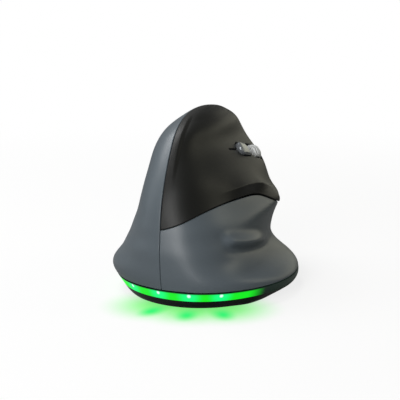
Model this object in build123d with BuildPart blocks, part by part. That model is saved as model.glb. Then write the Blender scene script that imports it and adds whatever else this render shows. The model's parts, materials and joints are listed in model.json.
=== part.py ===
from build123d import *
import os
from math import cos, degrees, exp, hypot, radians, sin

os.makedirs("parts", exist_ok=True)

# A right-handed upright mouse. +Z is up, +Y is forward (the key end) and +X is the finger side,
# so the thumb side is -X. The origin lies on the desk, under the middle of the body. Lengths in mm.

# ---------------------------------------------------------------------------------------------
# Driving dimensions
# ---------------------------------------------------------------------------------------------
BODY_WIDTH = 72.8          # across the skirt
BODY_LENGTH = 100.2        # heel to finger tip
BODY_HEIGHT = 73.6         # desk to crest
WALL = 2.2                 # moulded shells and panel
SEAM_GAP = 0.3             # between fixed shells
KEY_GAP = 0.55             # round the upper and lower edge of the two main keys
SLIT_GAP = 0.5             # between the two main keys
FOOT_HEIGHT = 0.6          # low-friction feet
FLOOR = 1.5                # base plate
SILL = 1.7                 # the base plate's rim stands this much above its floor
RIM_HEIGHT = 3.25          # light ring
RING_DEPTH = 2.0           # light ring, measured inwards

WAIST_DEPTH = 4.2          # hollow for the little finger
LIP_RISE = 1.8             # ledge along the lower edge of the finger panel
FOLD_RISE = 2.1            # swelling at the rear end of the hollow
CREASE_DEPTH = 0.5         # crease under the swelling
FLARE_RISE = 1.8           # outward turn of the skirt below the hollow

EDGE_TURN = 40.0           # the panel's lower edge is drawn in elevation along this heading
FACE_TURN = 6.9            # heading of the finger panel's outward normal
FACE_TILT = 33.3           # its elevation
SLIT_SLOPE = -15.4         # the slit falls this much towards the front

WHEEL_RADIUS = 9.5
WHEEL_WIDTH = 5.8
WHEEL_PROUD = 1.4          # above the panel
WHEEL_ROOM = 0.7           # beside the wheel and ahead of it in its opening
TYRE_DEPTH = 2.0
TYRE_RIBS = 32
AXLE_RADIUS = 1.5
RUNNING_FIT = 0.05         # radial clearance of every bearing
HEX_RADIUS = 1.1           # axle's drive end in the encoder
HEX_PLAY = 0.25

SLIT_LENGTH = 30.5         # from the wheel's axle back to the flex line
DPI_BACK = 15.7            # from the wheel's axle back to the middle of the speed key
DPI_LENGTH = 11.8
DPI_WIDTH = 6.0
DPI_PROUD = 1.3
DPI_ROOM = 0.4             # between the speed key and its opening
DPI_TRAVEL = 0.3
KEY_TRAVEL = 0.35          # of a main key, at its switch
KEY_REACH = 3.0            # the main switches' plungers stand this far ahead of the axle
KEY_SPREAD = 13.5          # and this far to each side of the slit
CLICK_TILT = 1.2           # degrees the wheel's yoke rocks

BOARD = 1.2                # circuit boards
KEY_BOARD_DEPTH = 13.5     # top of the key board below the panel's skin
STANDOFF = 1.5
DECK = 1.6
SWITCH_LENGTH = 12.8
SWITCH_WIDTH = 5.8
SWITCH_HEIGHT = 6.5
TACT_SIZE = 6.0
TACT_HEIGHT = 3.5
SMALL_TACT = 4.5
PLUNGER_RISE = 0.8
PLUNGER_LENGTH = 2.0
PLUNGER_ROOM = 0.2         # round a plunger, and under it at full travel
TOUCH = 0.1                # between a key's stem and its plunger

THUMB_LENGTH = 12.5
THUMB_WIDTH = 5.5
THUMB_PROUD = 0.9
THUMB_ROOM = 0.3
THUMB_TRAVEL = 0.4
THUMB_PITCH = 14.5
THUMB_LEVEL = 52.0
THUMB_FLANGE = 1.0
THUMB_BOARD_X = -11.6      # outer face of the thumb board
THUMB_SWITCH = 1.6
THUMB_PLUNGER = 1.5

SCREW_RADIUS = 1.1
SCREW_HEAD = 2.0
SCREW_HEAD_HEIGHT = 1.3
SMALL_SCREW = 0.8
SMALL_HEAD = 1.5
SMALL_HEAD_HEIGHT = 1.0

BATTERY = (30.0, 18.0, 6.0)
BATTERY_PLACE = (2.6, -27.0)
PAD = 1.0
BATTERY_ROOM = 0.5
BATTERY_RIB = 2.6

RECEIVER_LENGTH = 18.6
RECEIVER_WIDTH = 14.8
RECEIVER_HEIGHT = 5.8
PLUG_WIDTH = 12.0
PLUG_HEIGHT = 4.5
PLUG_LENGTH = 12.0
POCKET_ROOM = 0.3
POCKET_WALL = 1.0
RECEIVER_PLACE = (15.75, 3.75)
RECEIVER_TRAVEL = 8.0

PORT_WIDTH = 8.94
PORT_HEIGHT = 3.26
PORT_LENGTH = 7.4
PORT_ROOM = 0.3
POWER_TRAVEL = 2.5

# Heights of the floor stack
FLOOR_TOP = FOOT_HEIGHT + FLOOR
RING_FOOT = FLOOR_TOP + SILL
RIM_TOP = RING_FOOT + RIM_HEIGHT
SHELL_FOOT = RIM_TOP + SEAM_GAP
MAIN_BOARD_LEVEL = 7.2
MAIN_BOARD_TOP = MAIN_BOARD_LEVEL + BOARD

# Depths below the panel's skin, in the key face's own frame
BOARD_TOP = -KEY_BOARD_DEPTH
BOARD_UNDER = BOARD_TOP - BOARD
DECK_TOP = BOARD_UNDER - STANDOFF
DECK_UNDER = DECK_TOP - DECK
AXLE_DEPTH = WHEEL_PROUD - WHEEL_RADIUS

# Stations of the body: share of the height, then left, right (of the width), rear, front (of the
# length), y of the widest point right and left, x of the rearmost and foremost point, fullness.
STATIONS = [
    (0.000, -0.408, 0.448, -0.448, 0.387, -0.05, -0.06, 0.047, 0.0, 1.94),
    (0.041, -0.448, 0.494, -0.475, 0.417, -0.04, -0.06, 0.051, 0.0, 1.95),
    (0.088, -0.486, 0.500, -0.485, 0.432, -0.06, -0.06, 0.067, 0.0, 1.98),
    (0.136, -0.510, 0.486, -0.493, 0.438, -0.07, -0.06, 0.065, 0.0, 2.07),
    (0.190, -0.490, 0.424, -0.498, 0.446, -0.05, -0.09, 0.046, 0.0, 2.10),
    (0.245, -0.442, 0.389, -0.500, 0.457, -0.02, -0.10, 0.018, 0.0, 2.14),
    (0.306, -0.401, 0.382, -0.500, 0.465, 0.00, -0.10, -0.014, 0.0, 2.20),
    (0.367, -0.369, 0.361, -0.495, 0.471, 0.03, -0.10, -0.027, 0.0, 2.20),
    (0.421, -0.342, 0.341, -0.490, 0.480, 0.05, -0.10, -0.041, 0.0, 2.30),
    (0.476, -0.318, 0.314, -0.483, 0.487, 0.06, -0.10, -0.055, 0.0, 2.30),
    (0.543, -0.298, 0.281, -0.470, 0.493, 0.07, -0.10, -0.069, 0.0, 2.30),
    (0.625, -0.280, 0.246, -0.445, 0.494, 0.07, -0.10, -0.069, 0.0, 2.30),
    (0.720, -0.263, 0.183, -0.402, 0.467, 0.07, -0.08, -0.069, 0.0, 2.30),
    (0.815, -0.246, 0.119, -0.346, 0.432, 0.06, -0.07, -0.069, -0.01, 2.20),
    (0.897, -0.210, 0.099, -0.280, 0.372, 0.05, -0.03, -0.055, -0.03, 2.10),
    (0.957, -0.144, 0.058, -0.184, 0.274, 0.03, 0.02, -0.045, -0.045, 2.00),
    (0.989, -0.084, 0.004, -0.076, 0.132, 0.03, 0.03, -0.037, -0.037, 2.00),
    (1.000, -0.054, -0.014, -0.015, 0.070, 0.03, 0.03, -0.034, -0.034, 2.00),
]
OUTLINE_POINTS = 40
STEP = 360 / OUTLINE_POINTS


def smooth(value):
    """0 below 0, 1 above 1, with a soft turn between."""
    share = min(max(value, 0.0), 1.0)
    return share * share * (3 - 2 * share)


def window(angle, start, full, fade, end):
    """1 between full and fade, falling to 0 at start and end."""
    return smooth((angle - start) / (full - start)) * (1 - smooth((angle - fade) / (end - fade)))


def relief(height, angle):
    """How far the finger side's hollow, ledge and folds stand out of the plain stations."""
    share = height / BODY_HEIGHT
    waist = -WAIST_DEPTH * exp(-(((share - 0.285) / 0.095) ** 2)) * window(angle, -75, 8, 50, 100)
    lip = LIP_RISE * exp(-(((share - 0.455) / 0.05) ** 2)) * window(angle, -40, 20, 55, 95)
    flare = FLARE_RISE * exp(-(((share - 0.095) / 0.054) ** 2)) * window(angle, -60, 10, 40, 90)
    crest = 0.348 - 0.0017 * max(angle + 40, -10)
    fold = FOLD_RISE * exp(-(((share - crest) / 0.032) ** 2)) * window(angle, -54, -42, -20, 12)
    crease = CREASE_DEPTH * exp(-(((share - crest + 0.062) / 0.024) ** 2)) * window(angle, -55, -44, -14, 18)
    return waist + lip + flare + fold - crease


def signed_power(value, power):
    """A power that keeps its sign."""
    return abs(value) ** power * (1 if value >= 0 else -1)


def outline_point(row, angle):
    """A point of the body's plan outline at one station; angle in degrees from +X."""
    left, right = row[1] * BODY_WIDTH, row[2] * BODY_WIDTH
    rear, front = row[3] * BODY_LENGTH, row[4] * BODY_LENGTH
    wide_right, wide_left = row[5] * BODY_LENGTH, row[6] * BODY_LENGTH
    long_rear, long_front = row[7] * BODY_WIDTH, row[8] * BODY_WIDTH
    turn = (angle + 180) % 360 - 180
    cosine, sine = cos(radians(turn)), sin(radians(turn))
    across = signed_power(cosine, 2 / row[9])
    along = signed_power(sine, 2 / row[9])
    middle_x = long_front if along >= 0 else long_rear
    middle_y = wide_right if across >= 0 else wide_left
    reach_x = right - middle_x if across >= 0 else middle_x - left
    reach_y = front - middle_y if along >= 0 else middle_y - rear
    proud = relief(row[0] * BODY_HEIGHT, turn)
    return middle_x + reach_x * across + proud * cosine, middle_y + reach_y * along + proud * sine


def inset_point(row, angle, inset):
    """The same point moved square to the outline, inwards."""
    x, y = outline_point(row, angle)
    before = outline_point(row, angle - STEP)
    after = outline_point(row, angle + STEP)
    run = hypot(after[0] - before[0], after[1] - before[1])
    return x - inset * (after[1] - before[1]) / run, y + inset * (after[0] - before[0]) / run


def outline(row, inset=0.0):
    """Plan outline of the body at one station, moved inwards by inset."""
    return [inset_point(row, STEP * index, inset) for index in range(OUTLINE_POINTS)]


def spread(row):
    """Mean radius of a station."""
    return (row[2] - row[1]) * BODY_WIDTH / 4 + (row[4] - row[3]) * BODY_LENGTH / 4


def lean(index):
    """Sine and cosine of the skin's mean lean at a station; the skirt's undercut counts as upright."""
    low, high = STATIONS[max(index - 1, 0)], STATIONS[min(index + 1, len(STATIONS) - 1)]
    shrink = max(spread(low) - spread(high), 0.0)
    rise = (high[0] - low[0]) * BODY_HEIGHT
    return shrink / hypot(shrink, rise), rise / hypot(shrink, rise)


def body_form(inset, count=len(STATIONS)):
    """The closed form of the body's lowest stations, every skin moved inwards by inset."""
    with BuildPart() as form:
        for index, row in enumerate(STATIONS[:count]):
            sine, cosine = lean(index)
            with BuildSketch(Plane.XY.offset(row[0] * BODY_HEIGHT - inset * sine)):
                with BuildLine():
                    add(closed_curve(outline(row, inset * cosine)))
                make_face()
        loft()
    return form.part


def closed_curve(points):
    """A smooth closed curve whose knots are evenly spread, so that stations loft cleanly."""
    knots = [index / len(points) for index in range(len(points) + 1)]
    return Edge.make_spline([Vector(*point) for point in points], periodic=True, parameters=knots)


# ---------------------------------------------------------------------------------------------
# Frames of reference and shared tools
# ---------------------------------------------------------------------------------------------
body = body_form(0.0)
cavity = body_form(WALL)
RIM_ROW = STATIONS[1]
BIG = 2 * BODY_LENGTH

outward = Vector(
    cos(radians(FACE_TILT)) * cos(radians(FACE_TURN)),
    cos(radians(FACE_TILT)) * sin(radians(FACE_TURN)),
    sin(radians(FACE_TILT)),
)
level = Vector(-sin(radians(FACE_TURN)), cos(radians(FACE_TURN)), 0)
forward = level * cos(radians(SLIT_SLOPE)) + outward.cross(level) * sin(radians(SLIT_SLOPE))


def outer_hit(start, direction, form):
    """The furthest point where a line leaves a form."""
    hits = [hit[0] for hit in form.find_intersection_points(Axis(start, direction))]
    return max(hits, key=lambda point: point.dot(direction))


# The key face: origin on the skin over the wheel, x forward along the slit, y up the slope towards
# the ridge, z outward.
wheel_core = Vector(0, 0.246 * BODY_LENGTH, 0.588 * BODY_HEIGHT)
face = Plane(origin=outer_hit(wheel_core, outward, body), x_dir=forward, z_dir=outward)
# The edge view: the panel's lower edge is drawn on it as it is seen from outside.
edge_view = Plane(
    origin=(0, 0, 0),
    x_dir=(cos(radians(EDGE_TURN)), sin(radians(EDGE_TURN)), 0),
    z_dir=(sin(radians(EDGE_TURN)), -cos(radians(EDGE_TURN)), 0),
)


def skin_depth(x, y):
    """Height of the outer skin over a point of the key face."""
    start = face.from_local_coords(Vector(x, y, -KEY_BOARD_DEPTH))
    return face.to_local_coords(outer_hit(start, outward, body)).Z


def block(plane, centre, width, depth, height, mode=Mode.ADD):
    """A rectangular block standing on a plane, in the open part."""
    with BuildSketch(plane) as profile:
        with Locations(centre):
            Rectangle(width, depth)
    extrude(profile.sketch, amount=height, mode=mode)


def post(plane, centres, radius, height, mode=Mode.ADD):
    """Round posts or holes standing on a plane, in the open part."""
    with BuildSketch(plane) as profile:
        with Locations(*centres):
            Circle(radius)
    extrude(profile.sketch, amount=height, mode=mode)


def pill(plane, centre, length, width, height, mode=Mode.ADD):
    """A block with round ends, in the open part."""
    with BuildSketch(plane) as profile:
        with Locations(centre):
            SlotOverall(length, width)
    extrude(profile.sketch, amount=height, mode=mode)


def screws(plane, centres, radius, length, head_radius, head_height):
    """Pan-head screws: the plane is under the heads, the shanks run against its normal."""
    with BuildPart() as group:
        post(plane, centres, radius, -length)
        post(plane, centres, head_radius, head_height)
        chamfer(group.faces().filter_by(Axis(plane.origin, plane.z_dir)).edges().filter_by(
            lambda edge: abs(edge.radius - head_radius) < 0.01
            and plane.to_local_coords(edge.center()).Z > head_height / 2
        ), 0.3 * head_height)
        with BuildSketch(plane.offset(head_height)):
            with Locations(*centres):
                Rectangle(1.1 * head_radius, 0.25 * head_radius)
                Rectangle(0.25 * head_radius, 1.1 * head_radius)
        extrude(amount=-0.5 * head_height, mode=Mode.SUBTRACT)
    return group.part


# ---------------------------------------------------------------------------------------------
# Shells: left shell, right shell, palm panel and the two main keys
# ---------------------------------------------------------------------------------------------
# Parting line between the thumb side and the finger side, in plan
RIDGE = [
    (-0.069 * BODY_WIDTH, -0.60 * BODY_LENGTH),
    (-0.076 * BODY_WIDTH, -0.30 * BODY_LENGTH),
    (-0.089 * BODY_WIDTH, -0.06 * BODY_LENGTH),
    (-0.089 * BODY_WIDTH, 0.19 * BODY_LENGTH),
    (-0.124 * BODY_WIDTH, 0.60 * BODY_LENGTH),
]
# Lower edge of the finger panel, in the edge view
EDGE = [
    (-0.60 * BODY_LENGTH, 0.360 * BODY_HEIGHT),
    (-0.345 * BODY_LENGTH, 0.429 * BODY_HEIGHT),
    (-0.205 * BODY_LENGTH, 0.5015 * BODY_HEIGHT),
    (-0.08 * BODY_LENGTH, 0.535 * BODY_HEIGHT),
    (0.06 * BODY_LENGTH, 0.537 * BODY_HEIGHT),
    (0.165 * BODY_LENGTH, 0.516 * BODY_HEIGHT),
    (0.265 * BODY_LENGTH, 0.46 * BODY_HEIGHT),
    (0.36 * BODY_LENGTH, 0.405 * BODY_HEIGHT),
    (0.60 * BODY_LENGTH, 0.385 * BODY_HEIGHT),
]


def beside_ridge(side, gap):
    """Everything on one side of the parting line (side -1 thumb, +1 finger), gap away from it."""
    with BuildPart() as region:
        with BuildSketch(Plane.XY):
            with BuildLine():
                line = Spline(*[(x + side * gap, y) for x, y in RIDGE])
                Polyline(line @ 1, (side * BIG, BIG), (side * BIG, -BIG), line @ 0)
            make_face()
        extrude(amount=2 * BODY_HEIGHT)
    return region.part


def beyond_edge(side, gap):
    """Everything above (+1) or below (-1) the panel's lower edge, gap away from it."""
    with BuildPart() as region:
        with BuildSketch(edge_view):
            with BuildLine():
                line = Spline(*[(along, height + side * gap) for along, height in EDGE])
                Polyline(line @ 1, (BIG, side * BIG), (-BIG, side * BIG), line @ 0)
            make_face()
        extrude(amount=BODY_LENGTH, both=True)
    return region.part


# Screw bosses that join the base to the shells: places in plan
LEFT_BOSSES = [(-0.210 * BODY_WIDTH, 0.254 * BODY_LENGTH), (-0.282 * BODY_WIDTH, -0.240 * BODY_LENGTH)]
RIGHT_BOSSES = [(0.309 * BODY_WIDTH, -0.190 * BODY_LENGTH), (0.240 * BODY_WIDTH, 0.240 * BODY_LENGTH)]
BOSS_RADIUS = 3.0
BOSS_TOP = 16.0
BOSS_WEB = 1.6
SHELL_SCREW_LENGTH = 8.0

# Thumb keys and the posts that carry their board, in side elevation (y, z)
THUMB_Y = [0.0, THUMB_PITCH]
THUMB_POSTS = [(2.0, THUMB_LEVEL - 8.0), (THUMB_PITCH - 2.0, THUMB_LEVEL - 8.0)]
THUMB_POST_RADIUS = 2.0


def boss_set(centres, side):
    """Screw bosses with webs out to the wall, trimmed to the body."""
    with BuildPart() as bosses:
        post(Plane.XY.offset(SHELL_FOOT), centres, BOSS_RADIUS, BOSS_TOP - SHELL_FOOT)
        for x, y in centres:
            block(Plane.XY.offset(SHELL_FOOT + 2), (x + side * 8, y), 16, BOSS_WEB, BOSS_TOP - SHELL_FOOT - 2)
        post(Plane.XY.offset(SHELL_FOOT), centres, SCREW_RADIUS + RUNNING_FIT, SHELL_SCREW_LENGTH, Mode.SUBTRACT)
        add(body, mode=Mode.INTERSECT)
    return bosses.part


with BuildPart() as skin:
    add(body)
    add(cavity, mode=Mode.SUBTRACT)
    block(Plane.XY.offset(-1), (0, 0), BIG, BIG, SHELL_FOOT + 1, Mode.SUBTRACT)

with BuildPart() as thumb_posts:
    post(Plane.YZ.offset(THUMB_BOARD_X), THUMB_POSTS, THUMB_POST_RADIUS, -BODY_WIDTH / 2)
    add(body, mode=Mode.INTERSECT)
    post(Plane.YZ.offset(THUMB_BOARD_X), THUMB_POSTS, SMALL_SCREW + RUNNING_FIT, -5, Mode.SUBTRACT)

with BuildPart() as left_shell:
    add(skin.part)
    add(beside_ridge(-1, SEAM_GAP / 2), mode=Mode.INTERSECT)
    add(boss_set(LEFT_BOSSES, -1))
    add(thumb_posts.part)
    for y in THUMB_Y:
        pill(
            Plane.YZ, (y, THUMB_LEVEL), THUMB_LENGTH + 2 * THUMB_ROOM, THUMB_WIDTH + 2 * THUMB_ROOM,
            -BODY_WIDTH, Mode.SUBTRACT,
        )
left_shell.part.label = "left_shell"

# Charging port, in the front of the right shell
PORT_X = 0.0
PORT_LEVEL = MAIN_BOARD_TOP + PORT_HEIGHT / 2
port_front = Plane(origin=(PORT_X, 0, PORT_LEVEL), x_dir=(1, 0, 0), z_dir=(0, 1, 0))
port_mouth = outer_hit(Vector(PORT_X, 0, PORT_LEVEL), Vector(0, 1, 0), body).Y

with BuildPart() as right_shell:
    add(skin.part)
    add(beside_ridge(1, SEAM_GAP / 2), mode=Mode.INTERSECT)
    add(beyond_edge(-1, SEAM_GAP / 2), mode=Mode.INTERSECT)
    add(boss_set(RIGHT_BOSSES, 1))
    pill(
        port_front, (0, 0), PORT_WIDTH + 2 * PORT_ROOM, PORT_HEIGHT + 2 * PORT_ROOM,
        BODY_LENGTH, Mode.SUBTRACT,
    )
right_shell.part.label = "right_shell"

# The finger panel flexes along a line square to the slit; the two main keys lie ahead of it.
with BuildPart() as palm_panel:
    add(skin.part)
    add(beside_ridge(1, SEAM_GAP / 2), mode=Mode.INTERSECT)
    add(beyond_edge(1, SEAM_GAP / 2), mode=Mode.INTERSECT)
    block(
        face.offset(-BIG / 2), (-SLIT_LENGTH - SEAM_GAP / 2 - BIG / 2, 0), BIG, BIG, BIG, Mode.INTERSECT,
    )
palm_panel.part.label = "palm_panel"

OPENING_LENGTH = 2 * (WHEEL_RADIUS**2 - (AXLE_DEPTH + WALL + 0.4) ** 2) ** 0.5 + 2 * WHEEL_ROOM
OPENING_WIDTH = WHEEL_WIDTH + 2 * WHEEL_ROOM
STEM_LENGTH = 3.6
STEM_WIDTH = 3.0
SWITCH_TOP = BOARD_TOP + SWITCH_HEIGHT
PLUNGER_TOP = SWITCH_TOP + PLUNGER_RISE


def main_key(side):
    """The index key (side +1, above the slit) or the middle-finger key (side -1)."""
    with BuildPart() as key:
        add(skin.part)
        add(beside_ridge(1, KEY_GAP), mode=Mode.INTERSECT)
        add(beyond_edge(1, KEY_GAP), mode=Mode.INTERSECT)
        block(
            face.offset(-BIG / 2),
            (-SLIT_LENGTH + SEAM_GAP / 2 + BIG / 2, side * (SLIT_GAP / 2 + BIG / 2)),
            BIG, BIG, BIG, Mode.INTERSECT,
        )
        block(face.offset(-BIG / 2), (0, 0), OPENING_LENGTH, OPENING_WIDTH, BIG, Mode.SUBTRACT)
        pill(
            face.offset(-BIG / 2), (-DPI_BACK, 0), DPI_LENGTH + 2 * DPI_ROOM, DPI_WIDTH + 2 * DPI_ROOM,
            BIG, Mode.SUBTRACT,
        )
    with BuildPart() as stem:
        block(
            face.offset(PLUNGER_TOP + TOUCH), (KEY_REACH, side * KEY_SPREAD),
            STEM_LENGTH, STEM_WIDTH, KEY_BOARD_DEPTH,
        )
        add(body, mode=Mode.INTERSECT)
    with BuildPart() as whole:
        add(key.part)
        add(stem.part)
    return whole.part.solids().sort_by(SortBy.VOLUME)[-1]


def plunger(plane, centre, radius, length=PLUNGER_LENGTH):
    """A switch's plunger; the plane is the switch's top."""
    with BuildPart() as pin:
        post(plane.offset(PLUNGER_RISE - length), [centre], radius, length)
        fillet(pin.edges().group_by(Axis(plane.origin, plane.z_dir))[-1], 0.25 * radius)
    return pin.part


with BuildPart() as left_button:
    add(main_key(1))
left_button.part.label = "left_button"

with BuildPart() as right_button:
    add(main_key(-1))
right_button.part.label = "right_button"

# ---------------------------------------------------------------------------------------------
# Base: plate, light ring, feet, light strip
# ---------------------------------------------------------------------------------------------
RIB_OUTER = 3.9
RIB_INNER = 5.1
BASE_POST_RADIUS = 3.4
HEAD_WELL_RADIUS = SCREW_HEAD + 0.3
HEAD_WELL = 2.6
FRAME_FEET = [(-11.0, -13.6), (11.0, -13.6), (-9.0, 27.0), (9.0, 27.0)]
MAIN_BOARD_SCREWS = [(-18.5, -3.5), (3.5, -3.5), (-18.5, 19.5), (3.5, 19.5)]
SENSOR_PLACE = (-7.5, 8.0)
POWER_PLACE = (-11.5, 17.0)
TONGUE_WIDTH = 3.0
POCKET_LENGTH = RECEIVER_LENGTH + 2 * POCKET_ROOM
POCKET_WIDTH = RECEIVER_WIDTH + 2 * POCKET_ROOM
POCKET_TOP = FOOT_HEIGHT + 0.4 + RECEIVER_HEIGHT + POCKET_ROOM


def rim_core(inset, low):
    """Cuts away what lies inside the rim, from a height up, in the open part."""
    with BuildSketch(Plane.XY.offset(low)) as profile:
        with BuildLine():
            add(closed_curve(outline(RIM_ROW, inset)))
        make_face()
    extrude(profile.sketch, amount=BODY_HEIGHT, mode=Mode.SUBTRACT)


def rim_outline(outer, inner, low, high, mode=Mode.ADD):
    """An upright band that follows the rim, from one inset to another, in the open part."""
    with BuildSketch(Plane.XY.offset(low)) as profile:
        with BuildLine():
            add(closed_curve(outline(RIM_ROW, outer)))
        make_face()
        with BuildLine():
            add(closed_curve(outline(RIM_ROW, inner)))
        make_face(mode=Mode.SUBTRACT)
    extrude(profile.sketch, amount=high - low, mode=mode)


with BuildPart() as base_plate:
    add(body)
    block(Plane.XY.offset(RING_FOOT), (0, 0), BIG, BIG, BODY_HEIGHT, Mode.SUBTRACT)
    block(Plane.XY.offset(FOOT_HEIGHT), (0, 0), BIG, BIG, -BODY_HEIGHT, Mode.SUBTRACT)
    rim_core(RIB_INNER, FLOOR_TOP)
    rim_outline(RIB_OUTER, RIB_INNER, RING_FOOT - 0.5, RIM_TOP - 0.1)
    post(Plane.XY.offset(FLOOR_TOP), LEFT_BOSSES + RIGHT_BOSSES, BASE_POST_RADIUS, SHELL_FOOT - 0.1 - FLOOR_TOP)
    post(Plane.XY.offset(FLOOR_TOP), FRAME_FEET, 2.6, MAIN_BOARD_LEVEL - FLOOR_TOP)
    post(Plane.XY.offset(FLOOR_TOP), MAIN_BOARD_SCREWS, 1.8, MAIN_BOARD_LEVEL - FLOOR_TOP)
    rim_outline(-RIB_OUTER, RIB_OUTER, RING_FOOT, SHELL_FOOT, Mode.SUBTRACT)
    block(
        Plane.XY.offset(FOOT_HEIGHT), RECEIVER_PLACE, POCKET_WIDTH + 2 * POCKET_WALL,
        POCKET_LENGTH + 2 * POCKET_WALL, POCKET_TOP + POCKET_WALL - FOOT_HEIGHT,
    )
    block(Plane.XY, RECEIVER_PLACE, POCKET_WIDTH, POCKET_LENGTH, POCKET_TOP, Mode.SUBTRACT)
    for side in (-1, 1):
        block(
            Plane.XY.offset(FLOOR_TOP),
            (BATTERY_PLACE[0] + side * (BATTERY[0] / 2 + BATTERY_ROOM + 0.5), BATTERY_PLACE[1]), 1.0, 10.0, BATTERY_RIB,
        )
        block(
            Plane.XY.offset(FLOOR_TOP),
            (BATTERY_PLACE[0], BATTERY_PLACE[1] + side * (BATTERY[1] / 2 + BATTERY_ROOM + 0.5)), 10.0, 1.0, BATTERY_RIB,
        )
    post(Plane.XY, LEFT_BOSSES + RIGHT_BOSSES, HEAD_WELL_RADIUS, FOOT_HEIGHT + HEAD_WELL, Mode.SUBTRACT)
    post(Plane.XY, LEFT_BOSSES + RIGHT_BOSSES, SCREW_RADIUS + RUNNING_FIT, SHELL_FOOT, Mode.SUBTRACT)
    post(Plane.XY.offset(FLOOR_TOP), FRAME_FEET, SCREW_RADIUS + RUNNING_FIT, BODY_HEIGHT, Mode.SUBTRACT)
    post(Plane.XY.offset(FLOOR_TOP), MAIN_BOARD_SCREWS, SMALL_SCREW + RUNNING_FIT, BODY_HEIGHT, Mode.SUBTRACT)
    block(Plane.XY, SENSOR_PLACE, 10, 7, FLOOR_TOP, Mode.SUBTRACT)
    pill(Plane.XY, POWER_PLACE, TONGUE_WIDTH + POWER_TRAVEL + 1.6, 3.2, FLOOR_TOP, Mode.SUBTRACT)
base_plate.part.label = "base_plate"

with BuildPart() as light_ring:
    add(body)
    block(Plane.XY.offset(RIM_TOP), (0, 0), BIG, BIG, BODY_HEIGHT, Mode.SUBTRACT)
    block(Plane.XY.offset(RING_FOOT), (0, 0), BIG, BIG, -BODY_HEIGHT, Mode.SUBTRACT)
    rim_core(RING_DEPTH, 0)
light_ring.part.label = "light_ring"

# The light strip runs from the heel's right side round the heel and the thumb side to the front.
LIGHT_START = -52.0
LIGHT_STOP = -262.0
LIGHT_ANGLES = [-63.0 - 22.5 * index for index in range(9)]
STRIP_OUTER = 3.3
STRIP_INNER = 3.6
with BuildPart() as light_strip:
    rim_outline(STRIP_OUTER, STRIP_INNER, RING_FOOT, RIM_TOP)
    with BuildSketch(Plane.XY):
        with BuildLine():
            Polyline(
                (0, 0), (BIG * cos(radians(LIGHT_START)), BIG * sin(radians(LIGHT_START))), (BIG, 0),
                (BIG * cos(radians(LIGHT_STOP)), BIG * sin(radians(LIGHT_STOP))), (0, 0),
            )
        make_face()
    extrude(amount=BODY_HEIGHT, mode=Mode.SUBTRACT)
light_strip.part.label = "light_strip"

with BuildPart() as light_emitters:
    for angle in LIGHT_ANGLES:
        x, y = inset_point(RIM_ROW, angle, (RING_DEPTH + STRIP_OUTER) / 2)
        before = inset_point(RIM_ROW, angle - 2, 0)
        after = inset_point(RIM_ROW, angle + 2, 0)
        heading = Vector(after[0] - before[0], after[1] - before[1], 0)
        block(Plane(origin=(x, y, RING_FOOT + 0.6), x_dir=heading, z_dir=(0, 0, 1)), (0, 0), 3.2, 0.9, 1.9)
light_emitters.part.label = "light_emitters"

with BuildPart() as glide_feet:
    with BuildSketch(Plane.XY):
        with Locations((0, 0.335 * BODY_LENGTH), (2, -0.375 * BODY_LENGTH)):
            SlotOverall(18, 6)
        with Locations((-0.345 * BODY_WIDTH, 0.0), (0.39 * BODY_WIDTH, 0.0)):
            SlotOverall(15, 5, rotation=90)
    extrude(amount=FOOT_HEIGHT)
glide_feet.part.label = "glide_feet"

with BuildPart() as base_screws:
    add(screws(
        Plane(origin=(0, 0, FOOT_HEIGHT + HEAD_WELL), x_dir=(1, 0, 0), z_dir=(0, 0, -1)),
        [(x, -y) for x, y in LEFT_BOSSES + RIGHT_BOSSES],
        SCREW_RADIUS, SHELL_SCREW_LENGTH, SCREW_HEAD, SCREW_HEAD_HEIGHT,
    ))
base_screws.part.label = "base_screws"

# ---------------------------------------------------------------------------------------------
# Inner frame: a sloping deck behind the finger panel on two upright plates
# ---------------------------------------------------------------------------------------------
DECK_REAR = -38.0
DECK_FRONT = 10.0
DECK_LOW = -15.0
DECK_HIGH = 12.0
PLATE = 2.0
REAR_PLATE_Y = -10.0
FRONT_PLATE_Y = 31.0
PLATE_FOOT = 13.0          # half the plates' width at their foot
PLATE_RIGHT = 11.0         # and above it
PLATE_LEFT = -9.5
PLATE_STEP = (3.0, 7.0)    # where they narrow, over their foot
ARCH = (13.0, 14.0)        # opening for the wiring
ARCH_MIDDLE = 6.0
EYE = (9.0, 12.0)          # lightening hole
EYE_MIDDLE = 22.0
FLANGE = 1.6
FLANGE_LENGTH = 8.0
YOKE_ARM = 1.6
YOKE_ROOM = 0.8            # between the wheel and the yoke's arms
YOKE_LENGTH = 9.0
YOKE_INNER = WHEEL_WIDTH / 2 + YOKE_ROOM
YOKE_OUTER = YOKE_INNER + YOKE_ARM
YOKE_BRIDGE_TOP = AXLE_DEPTH - WHEEL_RADIUS - 1.1
YOKE_FLOOR = YOKE_BRIDGE_TOP - 1.3
PIVOT_Y = YOKE_INNER + YOKE_ARM / 2
PIVOT_DEPTH = -17.0
PIVOT_RADIUS = 0.8
EAR_START = YOKE_LENGTH / 2 + 0.4
EAR = 1.8
WELL_LENGTH = 2 * (EAR_START + EAR + 1.4)
WELL_WIDTH = 2 * YOKE_OUTER + 1.6
BOARD_OPENING = 2 * (WHEEL_RADIUS**2 - (BOARD_TOP - AXLE_DEPTH) ** 2) ** 0.5 + WHEEL_ROOM
BOARD_REAR = -34.0
BOARD_FRONT = 9.6
BOARD_LOW = -17.0
BOARD_HIGH = 16.8
KEY_BOARD_SCREWS = [(-31.5, -12.5), (-31.5, 10.0), (7.0, -8.6), (7.0, 8.6)]


def deck_corner(across, heading):
    """The point of the deck's top at a height up the slope, where it crosses a heading y."""
    start = face.from_local_coords(Vector(0, across, DECK_TOP))
    return start + forward * ((heading - start.Y) / forward.Y)


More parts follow.
